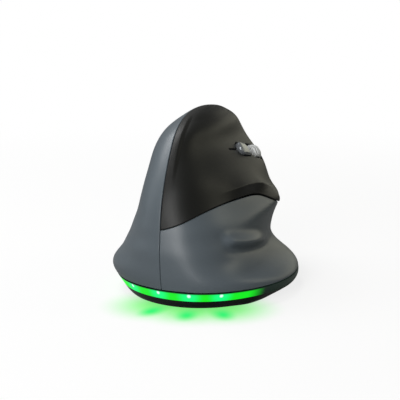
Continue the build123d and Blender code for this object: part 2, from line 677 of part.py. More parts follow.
def frame_plate(heading):
    """An upright plate across the body that carries the deck, with an arch for the wiring."""
    high = deck_corner(DECK_HIGH, heading)
    ground = MAIN_BOARD_LEVEL
    low, high_step = ground + PLATE_STEP[0], ground + PLATE_STEP[1]
    with BuildPart() as plate:
        with BuildSketch(Plane(origin=(0, heading + PLATE / 2, 0), x_dir=(1, 0, 0), z_dir=(0, -1, 0))):
            with BuildLine():
                Polyline(
                    (-PLATE_FOOT, ground), (PLATE_FOOT, ground), (PLATE_FOOT, low), (PLATE_RIGHT, high_step),
                    (PLATE_RIGHT, high.Z), (high.X, high.Z), (PLATE_LEFT, high.Z - 6),
                    (PLATE_LEFT, high_step), (-PLATE_FOOT, low), (-PLATE_FOOT, ground),
                )
            make_face()
            with Locations((0, ground + ARCH_MIDDLE)):
                Rectangle(*ARCH, mode=Mode.SUBTRACT)
            with Locations((0, ground + EYE_MIDDLE)):
                Rectangle(*EYE, mode=Mode.SUBTRACT)
        extrude(amount=PLATE)
        block(face.offset(DECK_TOP), (0, 0), BIG, BIG, -BIG, Mode.INTERSECT)
    return plate.part


with BuildPart() as key_frame:
    deck_middle = ((DECK_REAR + DECK_FRONT) / 2, (DECK_LOW + DECK_HIGH) / 2)
    block(face.offset(DECK_UNDER), deck_middle, DECK_FRONT - DECK_REAR, DECK_HIGH - DECK_LOW, DECK)
    add(frame_plate(REAR_PLATE_Y))
    add(frame_plate(FRONT_PLATE_Y))
    for x, y in FRAME_FEET:
        plate_y = FRONT_PLATE_Y if y > 0 else REAR_PLATE_Y
        block(
            Plane.XY.offset(MAIN_BOARD_LEVEL), (x, plate_y - FLANGE_LENGTH / 2), 6, FLANGE_LENGTH, FLANGE,
        )
    post(face.offset(DECK_TOP), KEY_BOARD_SCREWS, 2.0, STANDOFF)
    block(face.offset(DECK_UNDER - 2), (0, 0), WELL_LENGTH, WELL_WIDTH, 2 * DECK + 4, Mode.SUBTRACT)
    for side in (-1, 1):
        block(
            face.offset(PIVOT_DEPTH - 1.5),
            (side * (EAR_START + EAR / 2), (PIVOT_Y - 1.5 + WELL_WIDTH / 2 + 1) / 2),
            EAR, WELL_WIDTH / 2 + 1 - PIVOT_Y + 1.5, BOARD_UNDER - 0.2 - PIVOT_DEPTH + 1.5,
        )
    pivot_plane = Plane(
        origin=face.from_local_coords(Vector(0, PIVOT_Y, PIVOT_DEPTH)), x_dir=face.y_dir, z_dir=face.x_dir,
    )
    with BuildSketch(pivot_plane):
        Circle(PIVOT_RADIUS + RUNNING_FIT)
    extrude(amount=WELL_LENGTH / 2, both=True, mode=Mode.SUBTRACT)
    post(face.offset(DECK_UNDER - 1), KEY_BOARD_SCREWS, SMALL_SCREW + RUNNING_FIT, 10, Mode.SUBTRACT)
    post(Plane.XY, FRAME_FEET, SCREW_RADIUS + RUNNING_FIT, MAIN_BOARD_LEVEL + FLANGE + 0.5, Mode.SUBTRACT)
key_frame.part.label = "key_frame"

with BuildPart() as frame_screws:
    add(screws(
        Plane.XY.offset(MAIN_BOARD_LEVEL + FLANGE), FRAME_FEET, SCREW_RADIUS, 4.0, SCREW_HEAD, SCREW_HEAD_HEIGHT,
    ))
frame_screws.part.label = "frame_screws"

# ---------------------------------------------------------------------------------------------
# Key board and what stands on it
# ---------------------------------------------------------------------------------------------
with BuildPart() as key_board:
    with BuildSketch(face.offset(BOARD_UNDER)):
        with Locations(((BOARD_REAR + BOARD_FRONT) / 2, (BOARD_LOW + BOARD_HIGH) / 2)):
            RectangleRounded(BOARD_FRONT - BOARD_REAR, BOARD_HIGH - BOARD_LOW, 1.5)
        Rectangle(BOARD_OPENING, WELL_WIDTH, mode=Mode.SUBTRACT)
        with Locations(*KEY_BOARD_SCREWS):
            Circle(SMALL_SCREW + RUNNING_FIT, mode=Mode.SUBTRACT)
    extrude(amount=BOARD)
key_board.part.label = "key_board"

with BuildPart() as key_board_screws:
    add(screws(face.offset(BOARD_TOP), KEY_BOARD_SCREWS, SMALL_SCREW, 4.0, SMALL_HEAD, SMALL_HEAD_HEIGHT))
key_board_screws.part.label = "key_board_screws"


def switch_case(plane, centre, size, plunger_centre, plunger_radius, well):
    """A switch's case with the well that its plunger moves in; the plane is its seat."""
    with BuildPart() as case:
        block(plane, centre, *size)
        chamfer(case.faces().sort_by(Axis(plane.origin, plane.z_dir))[-1].edges(), 0.3)
        post(plane.offset(size[2]), [plunger_centre], plunger_radius + PLUNGER_ROOM, -well, Mode.SUBTRACT)
    return case.part


MAIN_PLUNGER_RADIUS = 0.9
TACT_PLUNGER_RADIUS = 1.6
SMALL_PLUNGER_RADIUS = 1.1
CLICK_TRAVEL = 0.3
PLUNGER_SUNK = PLUNGER_LENGTH - PLUNGER_RISE + PLUNGER_ROOM
MAIN_SWITCH = (SWITCH_LENGTH, SWITCH_WIDTH, SWITCH_HEIGHT)

with BuildPart() as left_switch:
    add(switch_case(
        face.offset(BOARD_TOP), (0, KEY_SPREAD), MAIN_SWITCH,
        (KEY_REACH, KEY_SPREAD), MAIN_PLUNGER_RADIUS, PLUNGER_SUNK + KEY_TRAVEL,
    ))
left_switch.part.label = "left_switch"

with BuildPart() as right_switch:
    add(switch_case(
        face.offset(BOARD_TOP), (0, -KEY_SPREAD), MAIN_SWITCH,
        (KEY_REACH, -KEY_SPREAD), MAIN_PLUNGER_RADIUS, PLUNGER_SUNK + KEY_TRAVEL,
    ))
right_switch.part.label = "right_switch"

with BuildPart() as left_plunger:
    add(plunger(face.offset(SWITCH_TOP), (KEY_REACH, KEY_SPREAD), MAIN_PLUNGER_RADIUS))
left_plunger.part.label = "left_plunger"

with BuildPart() as right_plunger:
    add(plunger(face.offset(SWITCH_TOP), (KEY_REACH, -KEY_SPREAD), MAIN_PLUNGER_RADIUS))
right_plunger.part.label = "right_plunger"

# Speed key, its guide and its switch
DPI_SHAFT_LENGTH = 7.0
DPI_SHAFT_WIDTH = 4.0
DPI_CAP_UNDER = -3.4
DPI_FLANGE = 1.0
GUIDE_TOP = -5.9
GUIDE = 1.2
DPI_FLANGE_TOP = GUIDE_TOP - GUIDE - 0.3
DPI_TACT_TOP = BOARD_TOP + TACT_HEIGHT
GUIDE_ROOM = 0.15
GUIDE_REAR = -DPI_BACK - 7.6
GUIDE_FRONT = -DPI_BACK + 4.9
GUIDE_HALF = 5.2
LEG = 1.6

with BuildPart() as dpi_switch:
    add(switch_case(
        face.offset(BOARD_TOP), (-DPI_BACK, 0), (TACT_SIZE, TACT_SIZE, TACT_HEIGHT),
        (-DPI_BACK, 0), TACT_PLUNGER_RADIUS, PLUNGER_SUNK + DPI_TRAVEL,
    ))
dpi_switch.part.label = "dpi_switch"

with BuildPart() as dpi_plunger:
    add(plunger(face.offset(DPI_TACT_TOP), (-DPI_BACK, 0), TACT_PLUNGER_RADIUS))
dpi_plunger.part.label = "dpi_plunger"

with BuildPart() as dpi_guide:
    middle = (GUIDE_REAR + GUIDE_FRONT) / 2
    block(face.offset(GUIDE_TOP - GUIDE), (middle, 0), GUIDE_FRONT - GUIDE_REAR, 2 * GUIDE_HALF, GUIDE)
    for x in (GUIDE_REAR + LEG / 2, GUIDE_FRONT - LEG / 2):
        for side in (-1, 1):
            block(
                face.offset(BOARD_TOP), (x, side * (GUIDE_HALF - LEG / 2)), LEG, LEG, GUIDE_TOP - BOARD_TOP,
            )
    pill(
        face.offset(GUIDE_TOP - 2 * GUIDE), (-DPI_BACK, 0), DPI_SHAFT_LENGTH + 2 * GUIDE_ROOM,
        DPI_SHAFT_WIDTH + 2 * GUIDE_ROOM, 3 * GUIDE, Mode.SUBTRACT,
    )
dpi_guide.part.label = "dpi_guide"

with BuildPart() as dpi_button:
    crown = skin_depth(-DPI_BACK, 0) + DPI_PROUD
    pill(face.offset(DPI_CAP_UNDER), (-DPI_BACK, 0), DPI_LENGTH, DPI_WIDTH, crown - DPI_CAP_UNDER)
    fillet(dpi_button.faces().sort_by(Axis(face.origin, face.z_dir))[-1].edges(), 0.9 * DPI_PROUD)
    shaft_foot = DPI_FLANGE_TOP - DPI_FLANGE
    pill(
        face.offset(shaft_foot), (-DPI_BACK, 0), DPI_SHAFT_LENGTH, DPI_SHAFT_WIDTH, DPI_CAP_UNDER - shaft_foot,
    )
    pill(face.offset(shaft_foot), (-DPI_BACK, 0), DPI_SHAFT_LENGTH + 1.2, DPI_SHAFT_WIDTH + 1.2, DPI_FLANGE)
    rest = DPI_TACT_TOP + PLUNGER_RISE + TOUCH
    post(face.offset(rest), [(-DPI_BACK, 0)], 1.5, shaft_foot - rest)
dpi_button.part.label = "dpi_button"

# ---------------------------------------------------------------------------------------------
# Wheel, its yoke, the encoder and the middle-click switch
# ---------------------------------------------------------------------------------------------
wheel_plane = Plane(
    origin=face.from_local_coords(Vector(0, 0, AXLE_DEPTH)), x_dir=face.x_dir, z_dir=face.y_dir,
)
RIM_RADIUS = WHEEL_RADIUS - TYRE_DEPTH
HUB_WEB = 1.6
ENCODER_GAP = 0.5
ENCODER_WIDTH = 4.0
ENCODER_LENGTH = 11.0
ENCODER_HEIGHT = 9.6
ENCODER_START = YOKE_OUTER + ENCODER_GAP

with BuildPart() as wheel_tyre:
    with BuildSketch(wheel_plane):
        Circle(WHEEL_RADIUS)
        Circle(RIM_RADIUS, mode=Mode.SUBTRACT)
    extrude(amount=WHEEL_WIDTH / 2, both=True)
    chamfer(wheel_tyre.edges().filter_by(GeomType.CIRCLE).filter_by(
        lambda edge: edge.radius > WHEEL_RADIUS - 0.01), 0.8)
    with BuildSketch(wheel_plane):
        with PolarLocations(WHEEL_RADIUS, TYRE_RIBS):
            Circle(0.4)
    extrude(amount=WHEEL_WIDTH, both=True, mode=Mode.SUBTRACT)
wheel_tyre.part.label = "wheel_tyre"

with BuildPart() as wheel_hub:
    with BuildSketch(wheel_plane):
        Circle(RIM_RADIUS)
        Circle(RIM_RADIUS - 1.4, mode=Mode.SUBTRACT)
        Circle(3.0)
    extrude(amount=WHEEL_WIDTH / 2 - 0.3, both=True)
    with BuildSketch(wheel_plane):
        Circle(RIM_RADIUS - 1.0)
        with PolarLocations((RIM_RADIUS + 1.6) / 2, 6):
            Circle(1.1, mode=Mode.SUBTRACT)
    extrude(amount=HUB_WEB / 2, both=True)
    with BuildSketch(wheel_plane):
        Circle(AXLE_RADIUS)
    extrude(amount=YOKE_OUTER, both=True)
    with BuildSketch(wheel_plane.offset(YOKE_OUTER)):
        RegularPolygon(HEX_RADIUS, 6)
    extrude(amount=ENCODER_GAP + ENCODER_WIDTH - 0.2)
wheel_hub.part.label = "wheel_hub"

with BuildPart() as wheel_yoke:
    block(
        face.offset(YOKE_FLOOR), (0, 0), YOKE_LENGTH, 2 * YOKE_OUTER, AXLE_DEPTH + AXLE_RADIUS + 1.0 - YOKE_FLOOR,
    )
    block(face.offset(YOKE_BRIDGE_TOP), (0, 0), 2 * YOKE_LENGTH, 2 * YOKE_INNER, BIG, Mode.SUBTRACT)
    fillet(
        wheel_yoke.edges().filter_by(Axis(face.origin, face.y_dir)).group_by(Axis(face.origin, face.z_dir))[-1], 2.5,
    )
    for side in (-1, 1):
        with BuildSketch(pivot_plane.offset(side * (YOKE_LENGTH / 2 - 0.5))):
            Circle(PIVOT_RADIUS)
        extrude(amount=side * (EAR_START + EAR + 0.3 - YOKE_LENGTH / 2 + 0.5))
    click_rest = BOARD_TOP + TACT_HEIGHT + PLUNGER_RISE + TOUCH
    ear_end = YOKE_OUTER + 0.4 + SMALL_TACT
    block(face.offset(click_rest), (0, -(YOKE_INNER + ear_end) / 2), 3.6, ear_end - YOKE_INNER, 1.3)
    with BuildSketch(wheel_plane):
        Circle(AXLE_RADIUS + RUNNING_FIT)
    extrude(amount=YOKE_OUTER + 0.1, both=True, mode=Mode.SUBTRACT)
wheel_yoke.part.label = "wheel_yoke"

CLICK_Y = -(YOKE_OUTER + 0.4 + SMALL_TACT / 2)
with BuildPart() as middle_switch:
    add(switch_case(
        face.offset(BOARD_TOP), (0, CLICK_Y), (SMALL_TACT, SMALL_TACT, TACT_HEIGHT),
        (0, CLICK_Y), SMALL_PLUNGER_RADIUS, PLUNGER_SUNK + CLICK_TRAVEL,
    ))
middle_switch.part.label = "middle_switch"

with BuildPart() as middle_plunger:
    add(plunger(face.offset(BOARD_TOP + TACT_HEIGHT), (0, CLICK_Y), SMALL_PLUNGER_RADIUS))
middle_plunger.part.label = "middle_plunger"

with BuildPart() as wheel_encoder:
    block(
        face.offset(BOARD_TOP), (0, ENCODER_START + ENCODER_WIDTH / 2), ENCODER_LENGTH, ENCODER_WIDTH, ENCODER_HEIGHT,
    )
    chamfer(wheel_encoder.faces().sort_by(Axis(face.origin, face.z_dir))[-1].edges(), 0.5)
    with BuildSketch(wheel_plane):
        Circle(HEX_RADIUS + HEX_PLAY)
    extrude(amount=BODY_WIDTH, mode=Mode.SUBTRACT)
wheel_encoder.part.label = "wheel_encoder"

# ---------------------------------------------------------------------------------------------
# Thumb keys
# ---------------------------------------------------------------------------------------------
BELOW_CREST = 15           # stations that the thumb keys' forms need
thumb_outer = body_form(-THUMB_PROUD, BELOW_CREST)
thumb_under = body_form(WALL + THUMB_ROOM, BELOW_CREST)
thumb_back = body_form(WALL + THUMB_ROOM + THUMB_FLANGE, BELOW_CREST)
thumb_seat = Plane(origin=(THUMB_BOARD_X, 0, 0), x_dir=(0, -1, 0), z_dir=(-1, 0, 0))


def thumb_core(form, y, grow):
    """What a form fills behind a thumb key's opening, grown by an amount all round."""
    with BuildPart() as core:
        pill(Plane.YZ, (y, THUMB_LEVEL), THUMB_LENGTH + 2 * grow, THUMB_WIDTH + 2 * grow, -BODY_WIDTH)
        add(form, mode=Mode.INTERSECT)
    return core.part


def thumb_key(y):
    """A thumb key: cap through the shell, flange behind it and a stem to its switch."""
    with BuildPart() as cap:
        add(thumb_core(thumb_outer, y, 0))
        add(thumb_core(thumb_under, y, 2), mode=Mode.SUBTRACT)
    with BuildPart() as flange:
        add(thumb_core(thumb_under, y, 0.9))
        add(thumb_core(thumb_back, y, 2), mode=Mode.SUBTRACT)
    with BuildPart() as stem:
        post(thumb_seat.offset(THUMB_SWITCH + PLUNGER_RISE + TOUCH), [(-y, THUMB_LEVEL)], 1.2, BODY_WIDTH)
        add(thumb_under, mode=Mode.INTERSECT)
    with BuildPart() as whole:
        add(cap.part)
        add(flange.part)
        add(stem.part)
    return whole.part


with BuildPart() as back_button:
    add(thumb_key(THUMB_Y[0]))
back_button.part.label = "back_button"

with BuildPart() as forward_button:
    add(thumb_key(THUMB_Y[1]))
forward_button.part.label = "forward_button"

with BuildPart() as thumb_board:
    with BuildSketch(thumb_seat):
        with Locations((-THUMB_PITCH / 2, THUMB_LEVEL - 3.5)):
            RectangleRounded(THUMB_PITCH + 14, 15, 1.0)
        with Locations(*[(-y, z) for y, z in THUMB_POSTS]):
            Circle(SMALL_SCREW + RUNNING_FIT, mode=Mode.SUBTRACT)
    extrude(amount=-BOARD)
thumb_board.part.label = "thumb_board"

with BuildPart() as thumb_switches:
    for y in THUMB_Y:
        add(switch_case(
            thumb_seat, (-y, THUMB_LEVEL), (SMALL_TACT, SMALL_TACT, THUMB_SWITCH),
            (-y, THUMB_LEVEL), SMALL_PLUNGER_RADIUS,
            THUMB_PLUNGER - PLUNGER_RISE + THUMB_TRAVEL + PLUNGER_ROOM,
        ))
thumb_switches.part.label = "thumb_switches"

with BuildPart() as back_plunger:
    add(plunger(thumb_seat.offset(THUMB_SWITCH), (-THUMB_Y[0], THUMB_LEVEL), SMALL_PLUNGER_RADIUS, THUMB_PLUNGER))
back_plunger.part.label = "back_plunger"

with BuildPart() as forward_plunger:
    add(plunger(thumb_seat.offset(THUMB_SWITCH), (-THUMB_Y[1], THUMB_LEVEL), SMALL_PLUNGER_RADIUS, THUMB_PLUNGER))
forward_plunger.part.label = "forward_plunger"

with BuildPart() as thumb_board_screws:
    add(screws(
        Plane(origin=(THUMB_BOARD_X + BOARD, 0, 0), x_dir=(0, 1, 0), z_dir=(1, 0, 0)),
        THUMB_POSTS, SMALL_SCREW, 4.0, SMALL_HEAD, SMALL_HEAD_HEIGHT,
    ))
thumb_board_screws.part.label = "thumb_board_screws"

# ---------------------------------------------------------------------------------------------
# Main board and what stands on it
# ---------------------------------------------------------------------------------------------
MAIN_LEFT = -21.0
MAIN_RIGHT = 6.0
MAIN_REAR = -6.0
MAIN_FRONT = 22.0
TONGUE_HALF = 5.0
PORT_REAR = port_mouth - 0.4 - PORT_LENGTH

with BuildPart() as main_board:
    with BuildSketch(Plane.XY.offset(MAIN_BOARD_LEVEL)):
        with Locations(((MAIN_LEFT + MAIN_RIGHT) / 2, (MAIN_REAR + MAIN_FRONT) / 2)):
            RectangleRounded(MAIN_RIGHT - MAIN_LEFT, MAIN_FRONT - MAIN_REAR, 1.0)
        with Locations((PORT_X, (PORT_REAR + 4 + MAIN_FRONT - 2) / 2)):
            Rectangle(2 * TONGUE_HALF, PORT_REAR + 4 - MAIN_FRONT + 2)
        with Locations(*MAIN_BOARD_SCREWS):
            Circle(SMALL_SCREW + RUNNING_FIT, mode=Mode.SUBTRACT)
        with Locations(SENSOR_PLACE):
            Rectangle(7, 5, mode=Mode.SUBTRACT)
    extrude(amount=BOARD)
main_board.part.label = "main_board"

with BuildPart() as main_board_screws:
    add(screws(
        Plane.XY.offset(MAIN_BOARD_TOP), MAIN_BOARD_SCREWS, SMALL_SCREW, 3.6, SMALL_HEAD, SMALL_HEAD_HEIGHT,
    ))
main_board_screws.part.label = "main_board_screws"

with BuildPart() as motion_sensor:
    block(Plane.XY.offset(MAIN_BOARD_TOP), SENSOR_PLACE, 12.0, 9.5, 2.2)
    chamfer(motion_sensor.faces().sort_by(Axis.Z)[-1].edges(), 0.4)
motion_sensor.part.label = "motion_sensor"

with BuildPart() as sensor_lens:
    block(Plane.XY.offset(FLOOR_TOP), SENSOR_PLACE, 16.0, 11.0, MAIN_BOARD_LEVEL - FLOOR_TOP)
    block(Plane.XY.offset(FLOOR_TOP + 1.4), SENSOR_PLACE, 12.0, 8.0, MAIN_BOARD_LEVEL, Mode.SUBTRACT)
    block(Plane.XY.offset(FLOOR_TOP - 0.6), SENSOR_PLACE, 9.0, 6.0, 0.6)
    post(Plane.XY.offset(FLOOR_TOP), [SENSOR_PLACE], 1.6, 2.4)
    fillet(sensor_lens.edges().filter_by(
        lambda edge: edge.geom_type == GeomType.CIRCLE and edge.center().Z > FLOOR_TOP + 2.2), 0.8)
sensor_lens.part.label = "sensor_lens"

with BuildPart() as controller_chip:
    block(Plane.XY.offset(MAIN_BOARD_TOP), (-8.0, 17.0), 7.0, 7.0, 0.9)
    chamfer(controller_chip.edges().filter_by(Axis.Z), 0.4)
controller_chip.part.label = "controller_chip"

with BuildPart() as charge_port:
    pill(port_front.offset(PORT_REAR), (0, 0), PORT_WIDTH, PORT_HEIGHT, PORT_LENGTH)
    pill(
        port_front.offset(PORT_REAR + 1.0), (0, 0), PORT_WIDTH - 0.7, PORT_HEIGHT - 0.7, PORT_LENGTH, Mode.SUBTRACT,
    )
    block(port_front.offset(PORT_REAR + 0.5), (0, 0), 6.6, 0.7, PORT_LENGTH - 1.5)
charge_port.part.label = "charge_port"

POWER_CASE = 1.8
with BuildPart() as power_switch:
    block(
        Plane.XY.offset(MAIN_BOARD_LEVEL - POWER_CASE), POWER_PLACE, 8.6, 3.7, POWER_CASE,
    )
    block(
        Plane.XY.offset(MAIN_BOARD_LEVEL - POWER_CASE), POWER_PLACE, TONGUE_WIDTH + POWER_TRAVEL + 0.4, 1.6, 0.9,
        Mode.SUBTRACT,
    )
power_switch.part.label = "power_switch"

with BuildPart() as power_slider:
    start = (POWER_PLACE[0] - POWER_TRAVEL / 2, POWER_PLACE[1])
    knob_under = FOOT_HEIGHT + 0.2
    case_under = MAIN_BOARD_LEVEL - POWER_CASE
    block(Plane.XY.offset(knob_under), start, TONGUE_WIDTH, 2.4, case_under - 0.2 - knob_under)
    block(Plane.XY.offset(case_under - 0.3), start, 2.4, 1.3, 1.0)
    for step in (-1, 0, 1):
        block(Plane.XY.offset(knob_under), (start[0] + 0.9 * step, start[1]), 0.3, 2.4, 0.25, Mode.SUBTRACT)
power_slider.part.label = "power_slider"

# ---------------------------------------------------------------------------------------------
# Battery and wiring
# ---------------------------------------------------------------------------------------------
with BuildPart() as battery_pad:
    block(Plane.XY.offset(FLOOR_TOP), BATTERY_PLACE, BATTERY[0] - 4, BATTERY[1] - 4, PAD)
battery_pad.part.label = "battery_pad"

with BuildPart() as battery:
    block(Plane.XY.offset(FLOOR_TOP + PAD), BATTERY_PLACE, *BATTERY)
    fillet(battery.edges().filter_by(Axis.X), 0.45 * BATTERY[2])
battery.part.label = "battery"

LEAD_RADIUS = 0.6
LEAD_X = -3.0
LEAD_PITCH = 2.0
BATTERY_FRONT = BATTERY_PLACE[1] + BATTERY[1] / 2
CONNECTOR_REAR = MAIN_REAR + 0.4
CONNECTOR_HEIGHT = 3.0
with BuildPart() as battery_connector:
    block(
        Plane.XY.offset(MAIN_BOARD_TOP), (LEAD_X, CONNECTOR_REAR + 2.0), 6.0, 4.0, CONNECTOR_HEIGHT,
    )
    chamfer(battery_connector.faces().sort_by(Axis.Z)[-1].edges(), 0.4)
battery_connector.part.label = "battery_connector"

with BuildPart() as battery_leads:
    for x in (LEAD_X - LEAD_PITCH / 2, LEAD_X + LEAD_PITCH / 2):
        low = FLOOR_TOP + PAD + BATTERY[2] / 2
        high = MAIN_BOARD_TOP + CONNECTOR_HEIGHT / 2
        span = CONNECTOR_REAR - BATTERY_FRONT
        side_view = Plane(origin=(x, 0, 0), x_dir=(0, 1, 0), z_dir=(1, 0, 0))
        with BuildLine(side_view) as route:
            FilletPolyline(
                (BATTERY_FRONT, low), (BATTERY_FRONT + 0.35 * span, low),
                (BATTERY_FRONT + 0.65 * span, high), (CONNECTOR_REAR, high), radius=4.0,
            )
        with BuildSketch(Plane(origin=route.line @ 0, z_dir=route.line % 0)):
            Circle(LEAD_RADIUS)
        sweep(path=route.line)
battery_leads.part.label = "battery_leads"

# Flat ribbon between the two boards, with a socket on each
RIBBON_X = -12.0
RIBBON_WIDTH = 8.0
RIBBON = 0.3
RIBBON_BEND = 2.0
RIBBON_OVERHANG = 4.0      # beyond the key board's edge, before it drops to the main board
SOCKET_WIDTH = RIBBON_WIDTH + 2.0
SOCKET_HEIGHT = 2.0
SOCKET_DEPTH = 3.0
SOCKET_ROOM = 0.1          # between the ribbon's end and its socket
KEY_SOCKET_Y = BOARD_LOW + 0.4 + SOCKET_DEPTH / 2
mouth = Vector(MAIN_RIGHT - 2.2, 0, MAIN_BOARD_TOP + SOCKET_HEIGHT + SOCKET_ROOM)
mouth = mouth + Vector(0, (RIBBON_X - face.to_local_coords(mouth).X) / forward.Y, 0)
drop = face.to_local_coords(mouth)

with BuildPart() as ribbon_sockets:
    block(face.offset(BOARD_TOP), (RIBBON_X, KEY_SOCKET_Y), SOCKET_WIDTH, SOCKET_DEPTH, SOCKET_HEIGHT)
    block(Plane.XY.offset(MAIN_BOARD_TOP), (mouth.X, mouth.Y), SOCKET_DEPTH, SOCKET_WIDTH, SOCKET_HEIGHT)
ribbon_sockets.part.label = "ribbon_sockets"

with BuildPart() as ribbon_cable:
    ribbon_level = BOARD_TOP + SOCKET_HEIGHT / 2
    ribbon_view = Plane(
        origin=face.from_local_coords(Vector(RIBBON_X - RIBBON_WIDTH / 2, 0, 0)), x_dir=face.y_dir, z_dir=face.x_dir,
    )
    bend = Vector(BOARD_LOW - RIBBON_OVERHANG, ribbon_level)
    tail = Vector(drop.Y, drop.Z)
    with BuildSketch(ribbon_view):
        with BuildLine():
            FilletPolyline(
                (KEY_SOCKET_Y - SOCKET_DEPTH / 2 - SOCKET_ROOM, ribbon_level), bend,
                tail + (tail - bend).normalized() * RIBBON_WIDTH, radius=RIBBON_BEND,
            )
        trace(line_width=RIBBON)
    extrude(amount=RIBBON_WIDTH)
    block(Plane.XY.offset(mouth.Z), (0, 0), BIG, BIG, -BIG, Mode.SUBTRACT)
ribbon_cable.part.label = "ribbon_cable"

# ---------------------------------------------------------------------------------------------
# Wireless receiver, parked in the base
# ---------------------------------------------------------------------------------------------
CASE_LENGTH = RECEIVER_LENGTH - PLUG_LENGTH
PLUG_SUNK = 2.0
receiver_foot = FOOT_HEIGHT + 0.4
receiver_front = RECEIVER_PLACE[1] + RECEIVER_LENGTH / 2
with BuildPart() as receiver_plug:
    plug_view = Plane(
        origin=(RECEIVER_PLACE[0], receiver_front - CASE_LENGTH + PLUG_SUNK, receiver_foot + RECEIVER_HEIGHT / 2),
        x_dir=(-1, 0, 0), z_dir=(0, -1, 0),
    )
    block(plug_view, (0, 0), PLUG_WIDTH, PLUG_HEIGHT, PLUG_LENGTH + PLUG_SUNK)
    chamfer(receiver_plug.edges().filter_by(Axis.Y), 0.4)
    block(plug_view.offset(PLUG_SUNK + 1), (0, 0), PLUG_WIDTH - 0.6, PLUG_HEIGHT - 0.6, PLUG_LENGTH, Mode.SUBTRACT)
    block(plug_view.offset(PLUG_SUNK + 0.5), (0, 0.85), PLUG_WIDTH - 0.6, 1.9, PLUG_LENGTH - 1.0)
receiver_plug.part.label = "receiver_plug"

with BuildPart() as receiver_case:
    block(
        Plane.XY.offset(receiver_foot), (RECEIVER_PLACE[0], receiver_front - CASE_LENGTH / 2),
        RECEIVER_WIDTH, CASE_LENGTH, RECEIVER_HEIGHT,
    )
    fillet(receiver_case.edges().filter_by(Axis.Y), 1.2)
    fillet(receiver_case.faces().sort_by(Axis.Y)[-1].edges(), 0.8)
    block(plug_view, (0, 0), PLUG_WIDTH, PLUG_HEIGHT, BODY_LENGTH, Mode.SUBTRACT)
receiver_case.part.label = "receiver_case"

for piece in (
    base_plate, base_screws, glide_feet, light_ring, light_strip, light_emitters,
    left_shell, right_shell, palm_panel, left_button, right_button,
    key_frame, frame_screws, key_board, key_board_screws,
    left_switch, left_plunger, right_switch, right_plunger,
    dpi_button, dpi_guide, dpi_switch, dpi_plunger,
    wheel_tyre, wheel_hub, wheel_yoke, wheel_encoder, middle_switch, middle_plunger,
    back_button, forward_button, thumb_board, thumb_board_screws, thumb_switches,
    back_plunger, forward_plunger,
    main_board, main_board_screws, motion_sensor, sensor_lens, controller_chip,
    charge_port, power_switch, power_slider,
    battery, battery_pad, battery_leads, battery_connector,
    ribbon_cable, ribbon_sockets, receiver_case, receiver_plug,
):
    export_step(piece.part, f"parts/{piece.part.label}.step")
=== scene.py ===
"""Upright computer mouse: the looks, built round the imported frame.

Lengths in the comments are millimetres; the objects are in metres, in the frame's own axes: +Z up, +Y forward,
+X the finger side. The moulded skins follow the same stations as the construction model.
"""

import json

import bpy
import numpy as np
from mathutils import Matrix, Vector


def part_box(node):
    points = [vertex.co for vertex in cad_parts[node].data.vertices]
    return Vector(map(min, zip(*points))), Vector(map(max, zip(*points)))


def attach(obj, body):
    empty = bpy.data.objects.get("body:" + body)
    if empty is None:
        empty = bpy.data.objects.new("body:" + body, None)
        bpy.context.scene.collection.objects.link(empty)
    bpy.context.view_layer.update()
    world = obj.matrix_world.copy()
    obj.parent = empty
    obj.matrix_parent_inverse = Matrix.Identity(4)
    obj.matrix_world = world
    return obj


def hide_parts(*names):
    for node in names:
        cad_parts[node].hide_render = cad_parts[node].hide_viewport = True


bl_info = {
    "name": "Upright computer mouse",
    "version": (1, 0, 0),
    "blender": (4, 5, 0),
    "location": "3D View > Sidebar > Mouse",
    "description": "Builds the visible pieces of an upright computer mouse round its frame",
    "category": "Object",
}

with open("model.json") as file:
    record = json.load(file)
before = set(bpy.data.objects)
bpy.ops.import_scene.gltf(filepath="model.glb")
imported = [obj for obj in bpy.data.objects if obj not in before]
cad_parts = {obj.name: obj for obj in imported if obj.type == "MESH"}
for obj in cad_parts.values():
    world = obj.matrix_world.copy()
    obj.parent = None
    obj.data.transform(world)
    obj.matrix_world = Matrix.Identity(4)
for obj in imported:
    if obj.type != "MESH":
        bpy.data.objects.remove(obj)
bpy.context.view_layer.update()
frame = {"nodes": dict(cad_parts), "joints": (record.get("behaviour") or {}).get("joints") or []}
MM = 0.001

# ---- Places taken from the frame ----
JOINTS = {joint["name"]: joint for joint in frame["joints"]}
SLOPE = np.array(JOINTS["left_press"]["axis"], float)  # up the finger face
AHEAD = np.array(JOINTS["middle_press"]["axis"], float)  # forward along the slit
OUT = -np.array(JOINTS["speed_press"]["axis"], float)  # out of the finger face
AXLE = np.array(JOINTS["wheel_spin"]["pos_m"], float) / MM
WHEEL_RADIUS, WHEEL_PROUD = 9.5, 1.4
FACE = AXLE + OUT * (WHEEL_RADIUS - WHEEL_PROUD)  # on the skin, over the axle


# ---- Form of the body ----
WIDTH, LENGTH, HEIGHT = 72.8, 100.2, 73.6
